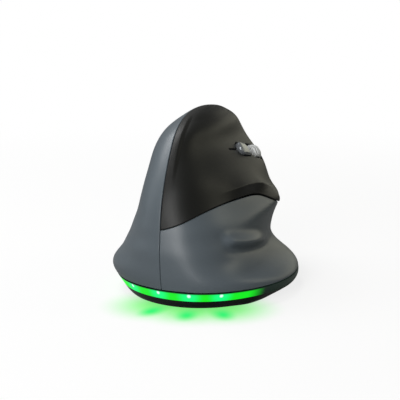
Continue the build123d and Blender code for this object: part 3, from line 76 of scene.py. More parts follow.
# Share of the height, then left, right (of the width), rear, front (of the length), y of the widest point
# right and left, x of the rearmost and foremost point, fullness.
STATIONS = np.array([
    (0.000, -0.408, 0.448, -0.448, 0.387, -0.05, -0.06, 0.047, 0.0, 1.94),
    (0.041, -0.448, 0.494, -0.475, 0.417, -0.04, -0.06, 0.051, 0.0, 1.95),
    (0.088, -0.486, 0.500, -0.485, 0.432, -0.06, -0.06, 0.067, 0.0, 1.98),
    (0.136, -0.510, 0.486, -0.493, 0.438, -0.07, -0.06, 0.065, 0.0, 2.07),
    (0.190, -0.490, 0.424, -0.498, 0.446, -0.05, -0.09, 0.046, 0.0, 2.10),
    (0.245, -0.442, 0.389, -0.500, 0.457, -0.02, -0.10, 0.018, 0.0, 2.14),
    (0.306, -0.401, 0.382, -0.500, 0.465, 0.00, -0.10, -0.014, 0.0, 2.20),
    (0.367, -0.369, 0.361, -0.495, 0.471, 0.03, -0.10, -0.027, 0.0, 2.20),
    (0.421, -0.342, 0.341, -0.490, 0.480, 0.05, -0.10, -0.041, 0.0, 2.30),
    (0.476, -0.318, 0.314, -0.483, 0.487, 0.06, -0.10, -0.055, 0.0, 2.30),
    (0.543, -0.298, 0.281, -0.470, 0.493, 0.07, -0.10, -0.069, 0.0, 2.30),
    (0.625, -0.280, 0.246, -0.445, 0.494, 0.07, -0.10, -0.069, 0.0, 2.30),
    (0.720, -0.263, 0.183, -0.402, 0.467, 0.07, -0.08, -0.069, 0.0, 2.30),
    (0.815, -0.246, 0.119, -0.346, 0.432, 0.06, -0.07, -0.069, -0.01, 2.20),
    (0.897, -0.210, 0.099, -0.280, 0.372, 0.05, -0.03, -0.055, -0.03, 2.10),
    (0.957, -0.144, 0.058, -0.184, 0.274, 0.03, 0.02, -0.045, -0.045, 2.00),
    (0.989, -0.084, 0.004, -0.076, 0.132, 0.03, 0.03, -0.037, -0.037, 2.00),
    (0.9975, -0.054, -0.014, -0.015, 0.070, 0.03, 0.03, -0.034, -0.034, 2.00),
    (1.000, -0.034, -0.034, 0.028, 0.030, 0.03, 0.03, -0.034, -0.034, 2.00),
])
# Parting line between thumb side and finger side, in plan, and the panel's lower edge in its elevation
RIDGE = np.array([(-0.60, -0.069), (-0.30, -0.076), (-0.06, -0.089), (0.19, -0.089), (0.60, -0.124)])
EDGE_TURN = 40.0
EDGE = np.array([
    (-0.60, 0.360), (-0.345, 0.429), (-0.205, 0.5015), (-0.08, 0.535), (0.06, 0.537),
    (0.165, 0.516), (0.265, 0.46), (0.36, 0.405), (0.60, 0.385),
])
SHELL_FOOT = 7.35  # the shells' lower edge
FLEX_BACK = 30.5  # the keys' flex line, behind the axle

# Finger side's relief: height, level as a share of the body's height, spread of that share, whether the level counts
# from the ledge's crest, and the turns in degrees at which it starts, is full, fades and ends.
RELIEF = (
    (-4.2, 0.285, 0.095, False, (-75, 8, 50, 100)),  # hollow for the little finger
    (1.8, 0.455, 0.050, False, (-40, 20, 55, 95)),  # lip under the panel
    (1.8, 0.095, 0.054, False, (-60, 10, 40, 90)),  # flare of the foot
    (2.9, 0.0, 0.032, True, (-52, -42, -24, 12)),  # fold along the crest
    (-0.5, -0.062, 0.024, True, (-55, -44, -14, 18)),  # crease below it
)
# The crest's level at a turn in degrees, its fall for each degree, and the turn up to which it stays level
CREST_LEVEL, CREST_TURN, CREST_FALL, CREST_FLAT = 0.348, -40, 0.0017, -50

# The keys' gap at the flex line and at the tip, how long it takes to open, and half the slit between the keys
FLEX_GAP, KEY_GAP, KEY_GAP_RUN, KEY_SLIT = 0.12, 0.35, 25.0, 0.25
# Openings in the finger face: middle ahead of the axle, half length, half width, corner's radius
SPEED_KEY_MIDDLE = -15.7
WHEEL_SLOT = (0.0, 8.15, 3.6, 1.0)
SPEED_SLOT = (SPEED_KEY_MIDDLE, 6.3, 3.4, 3.4)
SLOT_DEPTH = -15  # how far under the face a slot reaches
# Openings with round ends: length and height
THUMB_HOLES_Y, THUMB_HOLES_Z, THUMB_HOLE = (0.0, 14.5), 52.0, (13.1, 6.1)
PORT_Z, PORT_HOLE = 10.03, (9.54, 3.86)
AWAY = 5.0  # distance given for the side of the body where an opening isn't

SHELL_GRID, PANEL_GRID = (380, 190), (640, 330)
SHELL_TOP, PANEL_TOP = 0.25, 0.12  # where the grids stop short of the crown
ROLL_STEPS = 4
TINY = 1e-9

FOOT_MIDDLE_Y = -4.0  # the lamps throw their light straight out from here
SPOT_RISE = 0.7  # the ring's bright spots lie over the lamps' middles
GLOW_REAR = -40.0  # only lamps behind this get their light painted on the floor
LAMP_REACH = 4.0  # more than a lamp's size, and less than from one to the next


def bends(knots, rows):
    """Second derivatives of the natural cubic spline through the rows."""
    steps = np.diff(knots)
    count = len(knots)
    system = np.eye(count)
    right = np.zeros((count,) + rows.shape[1:])
    slopes = np.diff(rows, axis=0) / steps.reshape((-1,) + (1,) * (rows.ndim - 1))
    for i in range(1, count - 1):
        system[i, i - 1:i + 2] = steps[i - 1], 2 * (steps[i - 1] + steps[i]), steps[i]
        right[i] = 6 * (slopes[i] - slopes[i - 1])
    return np.linalg.solve(system, right)


def along_spline(knots, rows, turned, at):
    """The natural cubic spline's value at each place."""
    low = np.clip(np.searchsorted(knots, at) - 1, 0, len(knots) - 2)
    step = knots[low + 1] - knots[low]
    share = (at - knots[low]) / step
    if rows.ndim > 1:
        step, share = step[..., None], share[..., None]
    before, after = 1 - share, share
    return (
        before * rows[low] + after * rows[low + 1]
        + ((before**3 - before) * turned[low] + (after**3 - after) * turned[low + 1]) * step**2 / 6
    )


SPREAD = (STATIONS[:, 2] - STATIONS[:, 1]) * WIDTH / 4 + (STATIONS[:, 4] - STATIONS[:, 3]) * LENGTH / 4
RUN = np.concatenate([[0], np.cumsum(np.hypot(np.diff(STATIONS[:, 0] * HEIGHT), np.diff(SPREAD)))])
STATION_BENDS = bends(RUN, STATIONS)
RIDGE_BENDS = bends(RIDGE[:, 0] * LENGTH, RIDGE[:, 1] * WIDTH)
EDGE_BENDS = bends(EDGE[:, 0] * LENGTH, EDGE[:, 1] * HEIGHT)


def smooth(value):
    """0 below 0, 1 above 1, with a soft turn between."""
    share = np.clip(value, 0, 1)
    return share * share * (3 - 2 * share)


def rise(value, start, over):
    """0 up to start, then softly up to 1 over the next stretch."""
    return smooth((value - start) / over)


def unit(vectors):
    """The vectors at length 1."""
    return vectors / np.maximum(np.linalg.norm(vectors, axis=-1, keepdims=True), TINY)


def relief(share, angle):
    """How far the finger side's hollow, ledge and folds stand out of the plain stations."""
    crest = CREST_LEVEL - CREST_FALL * (np.maximum(angle, CREST_FLAT) - CREST_TURN)
    proud = 0
    for height, level, spread, on_crest, (start, full, fade, end) in RELIEF:
        offset = share - level - (crest if on_crest else 0)
        turned = rise(angle, start, full - start) * (1 - rise(angle, fade, end - fade))
        proud = proud + height * np.exp(-((offset / spread) ** 2)) * turned
    return proud


def skin(turn, run):
    """Points of the body's outer skin: turn in degrees from +X, run in mm up the skin from the desk."""
    row = along_spline(RUN, STATIONS, STATION_BENDS, run)
    share, fullness = row[..., 0], row[..., 9]
    left, right = row[..., 1] * WIDTH, row[..., 2] * WIDTH
    rear, front = row[..., 3] * LENGTH, row[..., 4] * LENGTH
    turn = (turn + 180) % 360 - 180
    cosine, sine = np.cos(np.radians(turn)), np.sin(np.radians(turn))
    across = np.sign(cosine) * np.abs(cosine) ** (2 / fullness)
    along = np.sign(sine) * np.abs(sine) ** (2 / fullness)
    middle_x = np.where(along >= 0, row[..., 8], row[..., 7]) * WIDTH
    middle_y = np.where(across >= 0, row[..., 5], row[..., 6]) * LENGTH
    reach_x = np.where(across >= 0, right - middle_x, middle_x - left)
    reach_y = np.where(along >= 0, front - middle_y, middle_y - rear)
    proud = relief(share, turn)
    return np.stack([
        middle_x + reach_x * across + proud * cosine,
        middle_y + reach_y * along + proud * sine,
        share * HEIGHT,
    ], axis=-1)


def from_ridge(places):
    """How far the places lie past the parting line, towards the finger side."""
    return places[:, 0] - along_spline(RIDGE[:, 0] * LENGTH, RIDGE[:, 1] * WIDTH, RIDGE_BENDS, places[:, 1])


def along_edge(places):
    """How far the places lie along the plane in which the panel's lower edge is drawn."""
    angle = np.radians(EDGE_TURN)
    return places[:, 0] * np.cos(angle) + places[:, 1] * np.sin(angle)


def edge_height(places):
    """Height over the panel's lower edge."""
    line = along_spline(EDGE[:, 0] * LENGTH, EDGE[:, 1] * HEIGHT, EDGE_BENDS, along_edge(places))
    return places[:, 2] - line


def on_face(places):
    """The places in the finger face's own axes: ahead, up the slope, outward."""
    offset = places - FACE
    return np.stack([offset @ AHEAD, offset @ SLOPE, offset @ OUT], axis=-1)


# ---- Meshes: a grid of the skin, trimmed along seams, with rolled edges and a wall ----
class Skin:
    """A grid of skin points with outward normals and its four-sided faces."""

    def __init__(self, columns, rows, low, high, dent=None):
        turns = np.arange(columns) * 360 / columns
        runs = np.linspace(low, high, rows)
        grid = skin(turns[None, :], runs[:, None] * np.ones((1, columns)))
        if dent is not None:
            grid = grid - self.normals_of(grid) * dent(grid.reshape(-1, 3)).reshape(rows, columns, 1)
        self.places = grid.reshape(-1, 3)
        self.normals = self.normals_of(grid).reshape(-1, 3)
        index = np.arange(rows * columns).reshape(rows, columns)
        beside = np.roll(index, -1, axis=1)
        self.faces = np.stack([index[:-1], beside[:-1], beside[1:], index[1:]], axis=-1).reshape(-1, 4)

    @staticmethod
    def normals_of(grid):
        """Outward normals of the grid by central differences."""
        round_it = np.roll(grid, -1, axis=1) - np.roll(grid, 1, axis=1)
        up_it = np.gradient(grid, axis=0)
        normals = np.cross(round_it, up_it)
        size = np.linalg.norm(normals, axis=-1, keepdims=True)
        return np.where(size > 1e-6, normals / np.maximum(size, 1e-9), (0, 0, 1))


def clip(places, normals, faces, field):
    """Keeps what lies where the field is above zero, and cuts the faces that cross it."""
    values = field(places)
    kept, extra, cuts = [], [], {}

    def cut(a, b):
        key = (a, b) if a < b else (b, a)
        if key not in cuts:
            first, second = key
            share = values[first] / (values[first] - values[second])
            cuts[key] = len(places) + len(extra)
            extra.append((first, second, share))
        return cuts[key]

    inside = values > 0
    for face in faces:
        flags = [inside[i] for i in face]
        if all(flags):
            kept.append(face)
        elif any(flags):
            corners = []
            for i, here in enumerate(face):
                after = face[(i + 1) % len(face)]
                if inside[here]:
                    corners.append(here)
                if inside[here] != inside[after]:
                    corners.append(cut(here, after))
            kept.append(tuple(corners))
    if extra:
        first, second, share = (np.array(column) for column in zip(*extra))
        share = share[:, None]
        places = np.concatenate([places, places[first] * (1 - share) + places[second] * share])
        normals = np.concatenate([normals, unit(normals[first] * (1 - share) + normals[second] * share)])
    return places, normals, kept


def edge_loops(faces):
    """Closed loops of the faces' free edges, the faces on the left."""
    directed = {(face[i - 1], face[i]) for face in faces for i in range(len(face))}
    after = {a: b for a, b in directed if (b, a) not in directed}
    loops = []
    while after:
        start, here = next(iter(after.items()))
        loop = [start]
        del after[start]
        while here != start and here in after:
            loop.append(here)
            here = after.pop(here)
        loops.append(loop)
    return loops


def inward(places, normals):
    """The way into the wall: square to the skin, but level near the foot, so that the shells close on the ring."""
    share = rise(places[:, 2], SHELL_FOOT + 0.5, 3.0)[:, None]
    return unit(-normals * share - unit(normals * (1, 1, 0)) * (1 - share))


def trimmed(grid, fields, roll, flush):
    """The grid's places, normals and faces that lie a roll's width inside every field, and up to the flush line."""
    places, normals = grid.places, grid.normals
    near = np.ones(len(grid.faces), bool)
    for field in fields + ([flush] if flush else []):
        near &= (field(places) > 0)[grid.faces].any(axis=1)
    faces = [tuple(face) for face in grid.faces[near]]
    for field in fields:
        places, normals, faces = clip(places, normals, faces, lambda spots: field(spots) - roll)
    if flush:
        places, normals, faces = clip(places, normals, faces, flush)
    used = np.unique(np.concatenate([np.array(face) for face in faces]))
    renumber = np.full(len(places), -1)
    renumber[used] = np.arange(len(used))
    return places[used], normals[used], [tuple(renumber[list(face)]) for face in faces]


def edge_sides(here, up, flush):
    """Which way an edge rolls out at each point, with its mitre, and which runs before and after it stay plain."""
    ahead = unit(np.roll(here, -1, axis=0) - here)
    plain = np.zeros(len(here), bool)
    if flush:
        on_line = np.abs(flush(here)) < 1e-3
        plain = on_line & np.roll(on_line, -1)
    out = np.cross(ahead, up)
    plain_before = np.roll(plain, 1)
    side = unit(out * ~plain[:, None] + np.roll(out, 1, axis=0) * ~plain_before[:, None])
    side = unit(side - up * (side * up).sum(axis=1, keepdims=True))
    mitre = np.where(plain | plain_before, 1, 1 / np.clip((side * out).sum(axis=1), 0.6, 1))
    return side, mitre[:, None], plain_before, plain


def moulding(name, grid, fields, flush=None):
    """A moulded skin: trimmed by the fields, its edges rolled over and walled, closed inside.

    Where flush is zero the edge meets a neighbour's without a roll.
    """
    sizes = bpy.context.scene.mouse_shells
    roll, wall = sizes.roll / MM, sizes.wall / MM
    places, normals, faces = trimmed(grid, fields, roll, flush)
    count = len(places)
    rows = [places, places + inward(places, normals) * wall]
    shades = [normals, np.zeros_like(normals)]
    solid = faces + [tuple(index + count for index in reversed(face)) for face in faces]
    base = 2 * count
    for loop in edge_loops(faces):
        spots = np.array(loop)
        ring = len(spots)
        here, up = places[spots], normals[spots]
        side, mitre, plain_before, plain = edge_sides(here, up, flush)
        for step in range(1, ROLL_STEPS + 1):
            angle = np.pi / 2 * step / ROLL_STEPS
            rows.append(here + side * mitre * roll * np.sin(angle) - up * roll * (1 - np.cos(angle)))
            shades.append(up * np.cos(angle) + side * np.sin(angle))
        rows.append(here + side * mitre * roll + inward(here, up) * wall)
        shades.append(side)
        columns = [
            [top] + [base + step * ring + k for step in range(ROLL_STEPS + 1)] + [top + count]
            for k, top in enumerate(spots)
        ]
        for i in range(ring):
            j = (i + 1) % ring
            if plain[i]:
                solid.append((spots[j], spots[i], spots[i] + count, spots[j] + count))
                continue
            first, second = columns[i], columns[j]
            for step in range(len(first) - 1):
                solid.append((second[step], first[step], first[step + 1], second[step + 1]))
            for column, end in ((first, plain_before[i]), (second[::-1], plain[j])):
                if end:
                    solid.append(tuple(column))
        base += (ROLL_STEPS + 1) * ring
    return make_mesh(name, np.concatenate(rows), solid, np.concatenate(shades))


def make_mesh(name, places, faces, shades=None):
    """A mesh object from places in mm; shades are the normals to shade by, zero for plain ones."""
    data = bpy.data.meshes.new(name)
    data.from_pydata((np.asarray(places) * MM).tolist(), [], [tuple(int(i) for i in face) for face in faces])
    data.validate()
    data.polygons.foreach_set("use_smooth", np.ones(len(data.polygons), bool))
    if shades is not None:
        corner = np.empty(len(data.loops), np.int32)
        data.loops.foreach_get("vertex_index", corner)
        wanted = shades[corner]
        flat = np.zeros(len(data.loops), bool)
        for polygon in data.polygons:
            spots = list(polygon.loop_indices)
            if not wanted[spots].any(axis=1).all():
                flat[spots] = True
        wanted[flat] = 0
        data.normals_split_custom_set(wanted.tolist())
    data.update()
    made = bpy.data.objects.new(name, data)
    bpy.context.scene.collection.objects.link(made)
    return made


def ring_faces(rings, segments, closed=False):
    """Four-sided faces between rings of points, and from the last ring to the first where closed."""
    faces = []
    for i in range(rings if closed else rings - 1):
        here, there = i * segments, (i + 1) % rings * segments
        for k in range(segments):
            beside = (k + 1) % segments
            faces.append((here + k, here + beside, there + beside, there + k))
    return faces


def lathe(name, centre, axis, start, profile, segments, ripple):
    """A turned ring: the profile is (along, radius) in mm round a closed section; ripple changes the radius."""
    angles = np.arange(segments) * 2 * np.pi / segments
    spoke = np.cos(angles)[:, None] * start + np.sin(angles)[:, None] * np.cross(axis, start)
    rows = []
    for along, radius in profile:
        rows.append(centre + axis * along + spoke * (radius + ripple(angles, radius))[:, None])
    return make_mesh(name, np.concatenate(rows), ring_faces(len(profile), segments, closed=True))


# ---- Materials ----
def linear(code):
    """A colour written as sRGB hex, turned to linear."""
    parts = [int(code[i:i + 2], 16) / 255 for i in (1, 3, 5)]
    return [c / 12.92 if c <= 0.04045 else ((c + 0.055) / 1.055) ** 2.4 for c in parts] + [1.0]


def add_node(tree, kind, sockets=None, **settings):
    """Adds a node with its settings; a socket takes a value or a link."""
    made = tree.nodes.new(kind)
    for key, value in settings.items():
        setattr(made, key, value)
    for key, value in (sockets or {}).items():
        if isinstance(value, bpy.types.NodeSocket):
            tree.links.new(value, made.inputs[key])
        else:
            made.inputs[key].default_value = value
    return made


def tinted(tree, under, layers):
    """A colour with layers over it; a layer's colour is full at one distance in mm and fades out towards another."""
    for distance, full, none, colour in layers:
        share = add_node(tree, "ShaderNodeMapRange", {
            "Value": distance, "From Min": full * MM, "From Max": none * MM, "To Min": 1.0, "To Max": 0.0,
        }, interpolation_type="SMOOTHSTEP").outputs["Result"]
        under = add_node(tree, "ShaderNodeMix", {0: share, 6: under, 7: colour}, data_type="RGBA").outputs[2]
    return under


def least(tree, values):
    """The least of the values."""
    found = values[0]
    for value in values[1:]:
        found = add_node(tree, "ShaderNodeMath", {0: found, 1: value}, operation="MINIMUM").outputs[0]
    return found


def new_material(name):
    """An empty material and its tree."""
    made = bpy.data.materials.new(name)
    made.use_nodes = True
    made.node_tree.nodes.clear()
    return made, made.node_tree


# Each finish: its colour, in hex or as one of the panel's colours, the roughness, the grain's width and depth in mm,
# how far the colour drifts (0.06 is 6%) and over how many mm, and what the shader takes as it is. Moulded grain is
# really about 0.05 mm wide; it is drawn coarser, so that it shows.
FINISHES = {
    # Moulded ABS with a fine spark-eroded grain: a soft, broad highlight and an even slate grey
    "satin_grey_abs": dict(colour="shells", roughness=0.38, grain=0.35, depth=0.006, drift=0.03, blotch=20.0, IOR=1.53),
    # Moulded ABS, finely grained: near black, with a broad warm highlight
    "satin_black_abs": dict(colour="panel", roughness=0.46, grain=0.30, depth=0.006, drift=0.05, blotch=16.0, IOR=1.43),
    # ABS from a polished mould: deep black with clear reflections
    "polished_black_abs": dict(
        colour="base", roughness=0.12, grain=1.5, depth=0.001, drift=0.05, blotch=20.0, IOR=1.53),
    # Silver-filled silicone rubber, moulded: pale, with a soft light along each rib
    "silver_rubber": dict(colour="tyre", roughness=0.28, grain=0.4, depth=0.004, drift=0.03, blotch=8.0, IOR=1.5),
    # Lacquer with metal flake, sprayed on ABS: mid grey under a small clear highlight
    "silver_lacquer": dict(
        colour="speed_key", roughness=0.14, grain=0.25, depth=0.001, drift=0.03, blotch=6.0, IOR=1.5, Metallic=0.3),
    # PTFE sheet, sintered and die-cut: dark grey with a waxy sheen
    "sintered_ptfe": dict(colour="#2B2C2D", roughness=0.35, grain=0.8, depth=0.003, drift=0.05),
    # Solder mask, printed on a glass-fibre board: glossy deep green
    "solder_mask": dict(colour="#0E5A2E", roughness=0.3, grain=0.6, depth=0.002, drift=0.08, blotch=6.0),
    # Steel, pressed or turned and zinc-plated: pale grey metal with soft reflections
    "zinc_plated_steel": dict(
        colour="#B4B4B6", roughness=0.32, grain=0.5, depth=0.002, drift=0.04, blotch=4.0, Metallic=1.0),
    # Glass-filled nylon, moulded: dull and slightly mottled
    "moulded_nylon_black": dict(colour="#17181A", roughness=0.5, grain=0.3, depth=0.003),
    # Unfilled nylon, moulded: milky, with a soft sheen
    "moulded_nylon_white": dict(colour="#D9D9D2", roughness=0.4, grain=0.3, depth=0.003),
    # PBT, moulded: an even, half-matt teal
    "moulded_pbt_teal": dict(colour="#1E5C60", roughness=0.45, grain=0.4, depth=0.003),
    # ABS, moulded smooth: mid grey with a gentle highlight
    "wheel_hub_abs": dict(colour="#8C8E90", roughness=0.3, grain=0.4, depth=0.002),
    # Acrylic, moulded clear: sharp reflections, and what lies behind it shows through
    "clear_acrylic": dict(colour="#E8F0F2", roughness=0.05, grain=2.0, depth=0.0005, drift=0.01, blotch=20.0,
                          IOR=1.49, **{"Transmission Weight": 0.9}),
    # Aluminium foil laminate, heat-sealed: silvery, with crinkled reflections
    "aluminised_foil": dict(
        colour="#B9BCC0", roughness=0.35, grain=1.2, depth=0.02, drift=0.03, blotch=8.0, Metallic=0.9),
    # Closed-cell foam, cut: dark and matt, with pores that just show
    "closed_cell_foam": dict(colour="#26262A", roughness=0.9, grain=0.5, depth=0.05),
    # PVC, extruded over wire: red, with a soft light along each lead
    "pvc_lead_red": dict(colour="#A01818", roughness=0.4, grain=0.5, depth=0.003),
}


def finish(name):
    """The material of that finish, made once."""
    return bpy.data.materials.get(name) or surface(name, **FINISHES[name])


def surface(name, colour, roughness, grain, depth, drift=0.06, blotch=14.0, **shader):
    """A material whose colour drifts in blotches, and whose grain roughens and dents it."""
    made, tree = new_material(name)
    place = add_node(tree, "ShaderNodeTexCoord").outputs["Object"]
    blotches = add_node(tree, "ShaderNodeTexNoise", {
        "Vector": place, "Scale": 1 / (blotch * MM), "Detail": 3.0, "Roughness": 0.5})
    even = linear(colour) if colour.startswith("#") else getattr(bpy.context.scene.mouse_colours, colour)
    pale, deep = ([min(c * k, 1.0) for c in even[:3]] + [1.0] for k in (1 + drift, 1 - drift))
    tint = add_node(tree, "ShaderNodeMix", {0: blotches.outputs["Fac"], 6: deep, 7: pale}, data_type="RGBA")
    pores = add_node(tree, "ShaderNodeTexNoise", {
        "Vector": place, "Scale": 1 / (grain * MM), "Detail": 2.0, "Roughness": 0.6})
    rough = add_node(tree, "ShaderNodeMapRange", {
        "Value": pores.outputs["Fac"], "From Min": 0.3, "From Max": 0.7,
        "To Min": max(roughness - 0.05, 0.02), "To Max": min(roughness + 0.05, 1.0)})
    dent = add_node(tree, "ShaderNodeBump", {"Height": pores.outputs["Fac"], "Strength": 1.0, "Distance": depth * MM})
    shaded = add_node(tree, "ShaderNodeBsdfPrincipled", {
        "Base Color": tint.outputs[2], "Roughness": rough.outputs["Result"], "Normal": dent.outputs["Normal"],
        **shader})
    add_node(tree, "ShaderNodeOutputMaterial", {"Surface": shaded.outputs["BSDF"]})
    return made


def points_of(node):
    """Points of a node of the frame, in metres."""
    return np.array([vertex.co for vertex in frame["nodes"][node].data.vertices])


def wear(node, material):
    """Gives a node of the frame its material, in every slot."""
    made = frame["nodes"][node]
    if not made.data.materials:
        made.data.materials.append(material)
    for index in range(len(made.material_slots)):
        made.material_slots[index].material = material


def settle(made, body, material, node):
    """A visual piece takes its material, rides on its body and stands for the frame's node."""
    made.data.materials.append(material)
    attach(made, body)
    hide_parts(node)


# ---- Settings ----
class ShellSettings(bpy.types.PropertyGroup):
    """Sizes of the moulded shells and the finger panel."""

    roll: bpy.props.FloatProperty(
        name="Edge roll", description="Radius of the moulded edges", default=0.35 * MM, min=0.0, unit="LENGTH")
    wall: bpy.props.FloatProperty(
        name="Wall", description="Wall of the mouldings", default=1.8 * MM, min=0.0, unit="LENGTH")
    seam: bpy.props.FloatProperty(
        name="Seam", description="Gap between fixed mouldings", default=0.2 * MM, min=0.0, unit="LENGTH")
    scoop: bpy.props.FloatProperty(
        name="Scoop", description="Depth of the crease beside the ridge", default=0.5 * MM, min=0.0, unit="LENGTH")
    lip: bpy.props.FloatProperty(
        name="Lip", description="How far the panel's lower lip stands out", default=1.9 * MM, min=0.0, unit="LENGTH")
    lip_height: bpy.props.FloatProperty(
        name="Lip height", description="From the edge to the lip's corner", default=3.9 * MM, min=0.0, unit="LENGTH")
    arris: bpy.props.FloatProperty(
        name="Arris", description="How far the shells fall away at the ridge", default=0.3 * MM, min=0.0, unit="LENGTH")


class ColourSettings(bpy.types.PropertyGroup):
    """Colours of the mouldings and of the light."""

    shells: bpy.props.FloatVectorProperty(
        name="Shells", description="Thumb shell and finger skirt", default=linear("#5C656B"), size=4, subtype="COLOR")
    panel: bpy.props.FloatVectorProperty(
        name="Panel", description="Finger panel and all its keys", default=linear("#131411"), size=4, subtype="COLOR")
    base: bpy.props.FloatVectorProperty(
        name="Base", description="Base plate", default=linear("#06090A"), size=4, subtype="COLOR")
    tyre: bpy.props.FloatVectorProperty(
        name="Tyre", description="Ribbed tyre of the wheel", default=linear("#E4E6E6"), size=4, subtype="COLOR")
    speed_key: bpy.props.FloatVectorProperty(
        name="Speed key", description="Domed key behind the wheel", default=linear("#85898D"), size=4, subtype="COLOR")
    light: bpy.props.FloatVectorProperty(
        name="Light", description="Light ring between its lamps", default=linear("#00EE14"), size=4, subtype="COLOR")


class StageSettings(bpy.types.PropertyGroup):
    """Camera."""

    azimuth: bpy.props.FloatProperty(
        name="Azimuth", description="Camera's heading round the mouse", default=np.radians(17.0), subtype="ANGLE")
    elevation: bpy.props.FloatProperty(
        name="Elevation", description="Camera's height over the horizon", default=np.radians(11.0), subtype="ANGLE")
    distance: bpy.props.FloatProperty(
        name="Distance", description="From the camera to the mouse", default=0.55, unit="LENGTH")
    lens: bpy.props.FloatProperty(
        name="Lens", description="Focal length on a 36 mm sensor", default=120.3, unit="CAMERA")


# ---- Seams and openings: fields that give the distance in mm past a line, on the side that stays ----
def finger_side(places):
    """The ridge's finger side, by the keys' gap."""
    return from_ridge(places) - key_gap(places)


def above_edge(places):
    """Over the panel's lower edge, by the keys' gap."""
    return edge_height(places) - key_gap(places)


def over_foot(places):
    """Over the shells' lower edge."""
    return places[:, 2] - SHELL_FOOT


def past_flex(places):
    """How far ahead of the keys' flex line the places lie."""
    return on_face(places)[:, 0] + FLEX_BACK


def key_gap(places):
    """The keys' gap opens out from the fixed seam ahead of the flex line."""
    return FLEX_GAP + (KEY_GAP - FLEX_GAP) * smooth(past_flex(places) / KEY_GAP_RUN)


def slot(middle, half_length, half_width, radius):
    """An opening in the finger face, with rounded corners."""
    def field(places):
        local = on_face(places)
        reach_x = np.abs(local[:, 0] - middle) - (half_length - radius)
        reach_y = np.abs(local[:, 1]) - (half_width - radius)
        outside = np.hypot(np.maximum(reach_x, 0), np.maximum(reach_y, 0))
        distance = outside + np.minimum(np.maximum(reach_x, reach_y), 0) - radius
        return np.where(local[:, 2] > SLOT_DEPTH, distance, AWAY)
    return field


def rounded_hole(x, z, length, height):
    """Distance outside a hole with round ends."""
    return np.hypot(np.maximum(np.abs(x) - (length - height) / 2, 0), z) - height / 2


def thumb_hole(middle_y):
    """A thumb key's opening."""
    def field(places):
        distance = rounded_hole(places[:, 1] - middle_y, places[:, 2] - THUMB_HOLES_Z, *THUMB_HOLE)
        return np.where(places[:, 0] < 0, distance, AWAY)
    return field


def port_hole(places):
    """The charging port's opening."""
    distance = rounded_hole(places[:, 0], places[:, 2] - PORT_Z, *PORT_HOLE)
    return np.where(places[:, 1] > 0, distance, AWAY)


# ---- Dents in the plain skin ----
def finger_dent(places):
    """How far the finger panel lies in: a crease beside the ridge, less the lip's corner and the brow over it."""
    sizes = bpy.context.scene.mouse_shells
    lip_height = sizes.lip_height / MM
    y, z = places[:, 1], places[:, 2]
    from_edge = edge_height(places)
    crease = rise(from_ridge(places), 2.4, 1.8) * rise(z, 46.0, 12.0) * smooth((HEIGHT - 1.2 - z) / 2.5)
    # Across the lip: in at the edge, out to the corner, and back to the plain skin above
    lip = (np.clip(from_edge / lip_height, 0, 1) * 1.3 - 0.3) * np.clip(1 - (from_edge - lip_height) / 7.0, 0, 1) ** 2
    # Along the lip: it starts at the heel, thins forward and ends before the tip
    lip = lip * rise(along_edge(places), -12.0, 18.0) * (1 - 0.5 * rise(y, 1.0, 17.0)) * (1 - rise(y, 14.0, 12.0))
    brow = 0.85 * rise(y, -4.0, 12.0) * (1 - rise(y, 16.0, 14.0)) * (1 - rise(from_edge, 1.0, 6.0))
    tip = 0.12 * rise(y, 36.0, 8.0)
    return sizes.scoop / MM * crease - sizes.lip / MM * lip - brow + tip


def ridge_dent(side):
    """The skins fall away beside the ridge, so that it reads as a line: side -1 is the thumb's."""
    def dent(places):
        reach = np.maximum(side * from_ridge(places), 0) / 7.0
        return bpy.context.scene.mouse_shells.arris / MM * reach * np.exp(1 - reach)
    return dent


# ---- Operators ----
class MOUSE_OT_shells(bpy.types.Operator):
    """Mould the thumb-side shell and the finger-side skirt"""

    bl_idname = "mouse.shells"
    bl_label = "Shells"

    def execute(self, context):
        gap = context.scene.mouse_shells.seam / MM / 2
        run = (RUN[1], RUN[-1] - SHELL_TOP)

        def below_edge(places):
            return -edge_height(places) - gap

        thumb = [over_foot] + [thumb_hole(y) for y in THUMB_HOLES_Y]
        finger = [below_edge, over_foot, port_hole]
        for side, name, node, fields in (
                (-1, "thumb_shell", "left_shell", thumb), (1, "finger_skirt", "right_shell", finger)):
            def beside_ridge(places):
                return side * from_ridge(places) - gap

            shell = moulding(name, Skin(*SHELL_GRID, *run, ridge_dent(side)), [beside_ridge] + fields)
            settle(shell, "housing", finish("satin_grey_abs"), node)
        return {"FINISHED"}


class MOUSE_OT_panel(bpy.types.Operator):
    """Mould the finger panel with its two flexible keys"""

    bl_idname = "mouse.panel"
    bl_label = "Finger panel and keys"

    def execute(self, context):
        grid = Skin(*PANEL_GRID, RUN[6], RUN[-1] - PANEL_TOP, finger_dent)
        palm = moulding("palm_panel_skin", grid, [finger_side, above_edge], lambda places: -past_flex(places))
        settle(palm, "housing", finish("satin_black_abs"), "palm_panel")
        for side, name, body in ((1, "left_button", "left_key"), (-1, "right_button", "right_key")):
            def half(places):
                return side * on_face(places)[:, 1] - KEY_SLIT

            key = moulding(name + "_skin", grid,
                           [finger_side, above_edge, half, slot(*WHEEL_SLOT), slot(*SPEED_SLOT)], past_flex)
            settle(key, body, finish("satin_black_abs"), name)
        return {"FINISHED"}


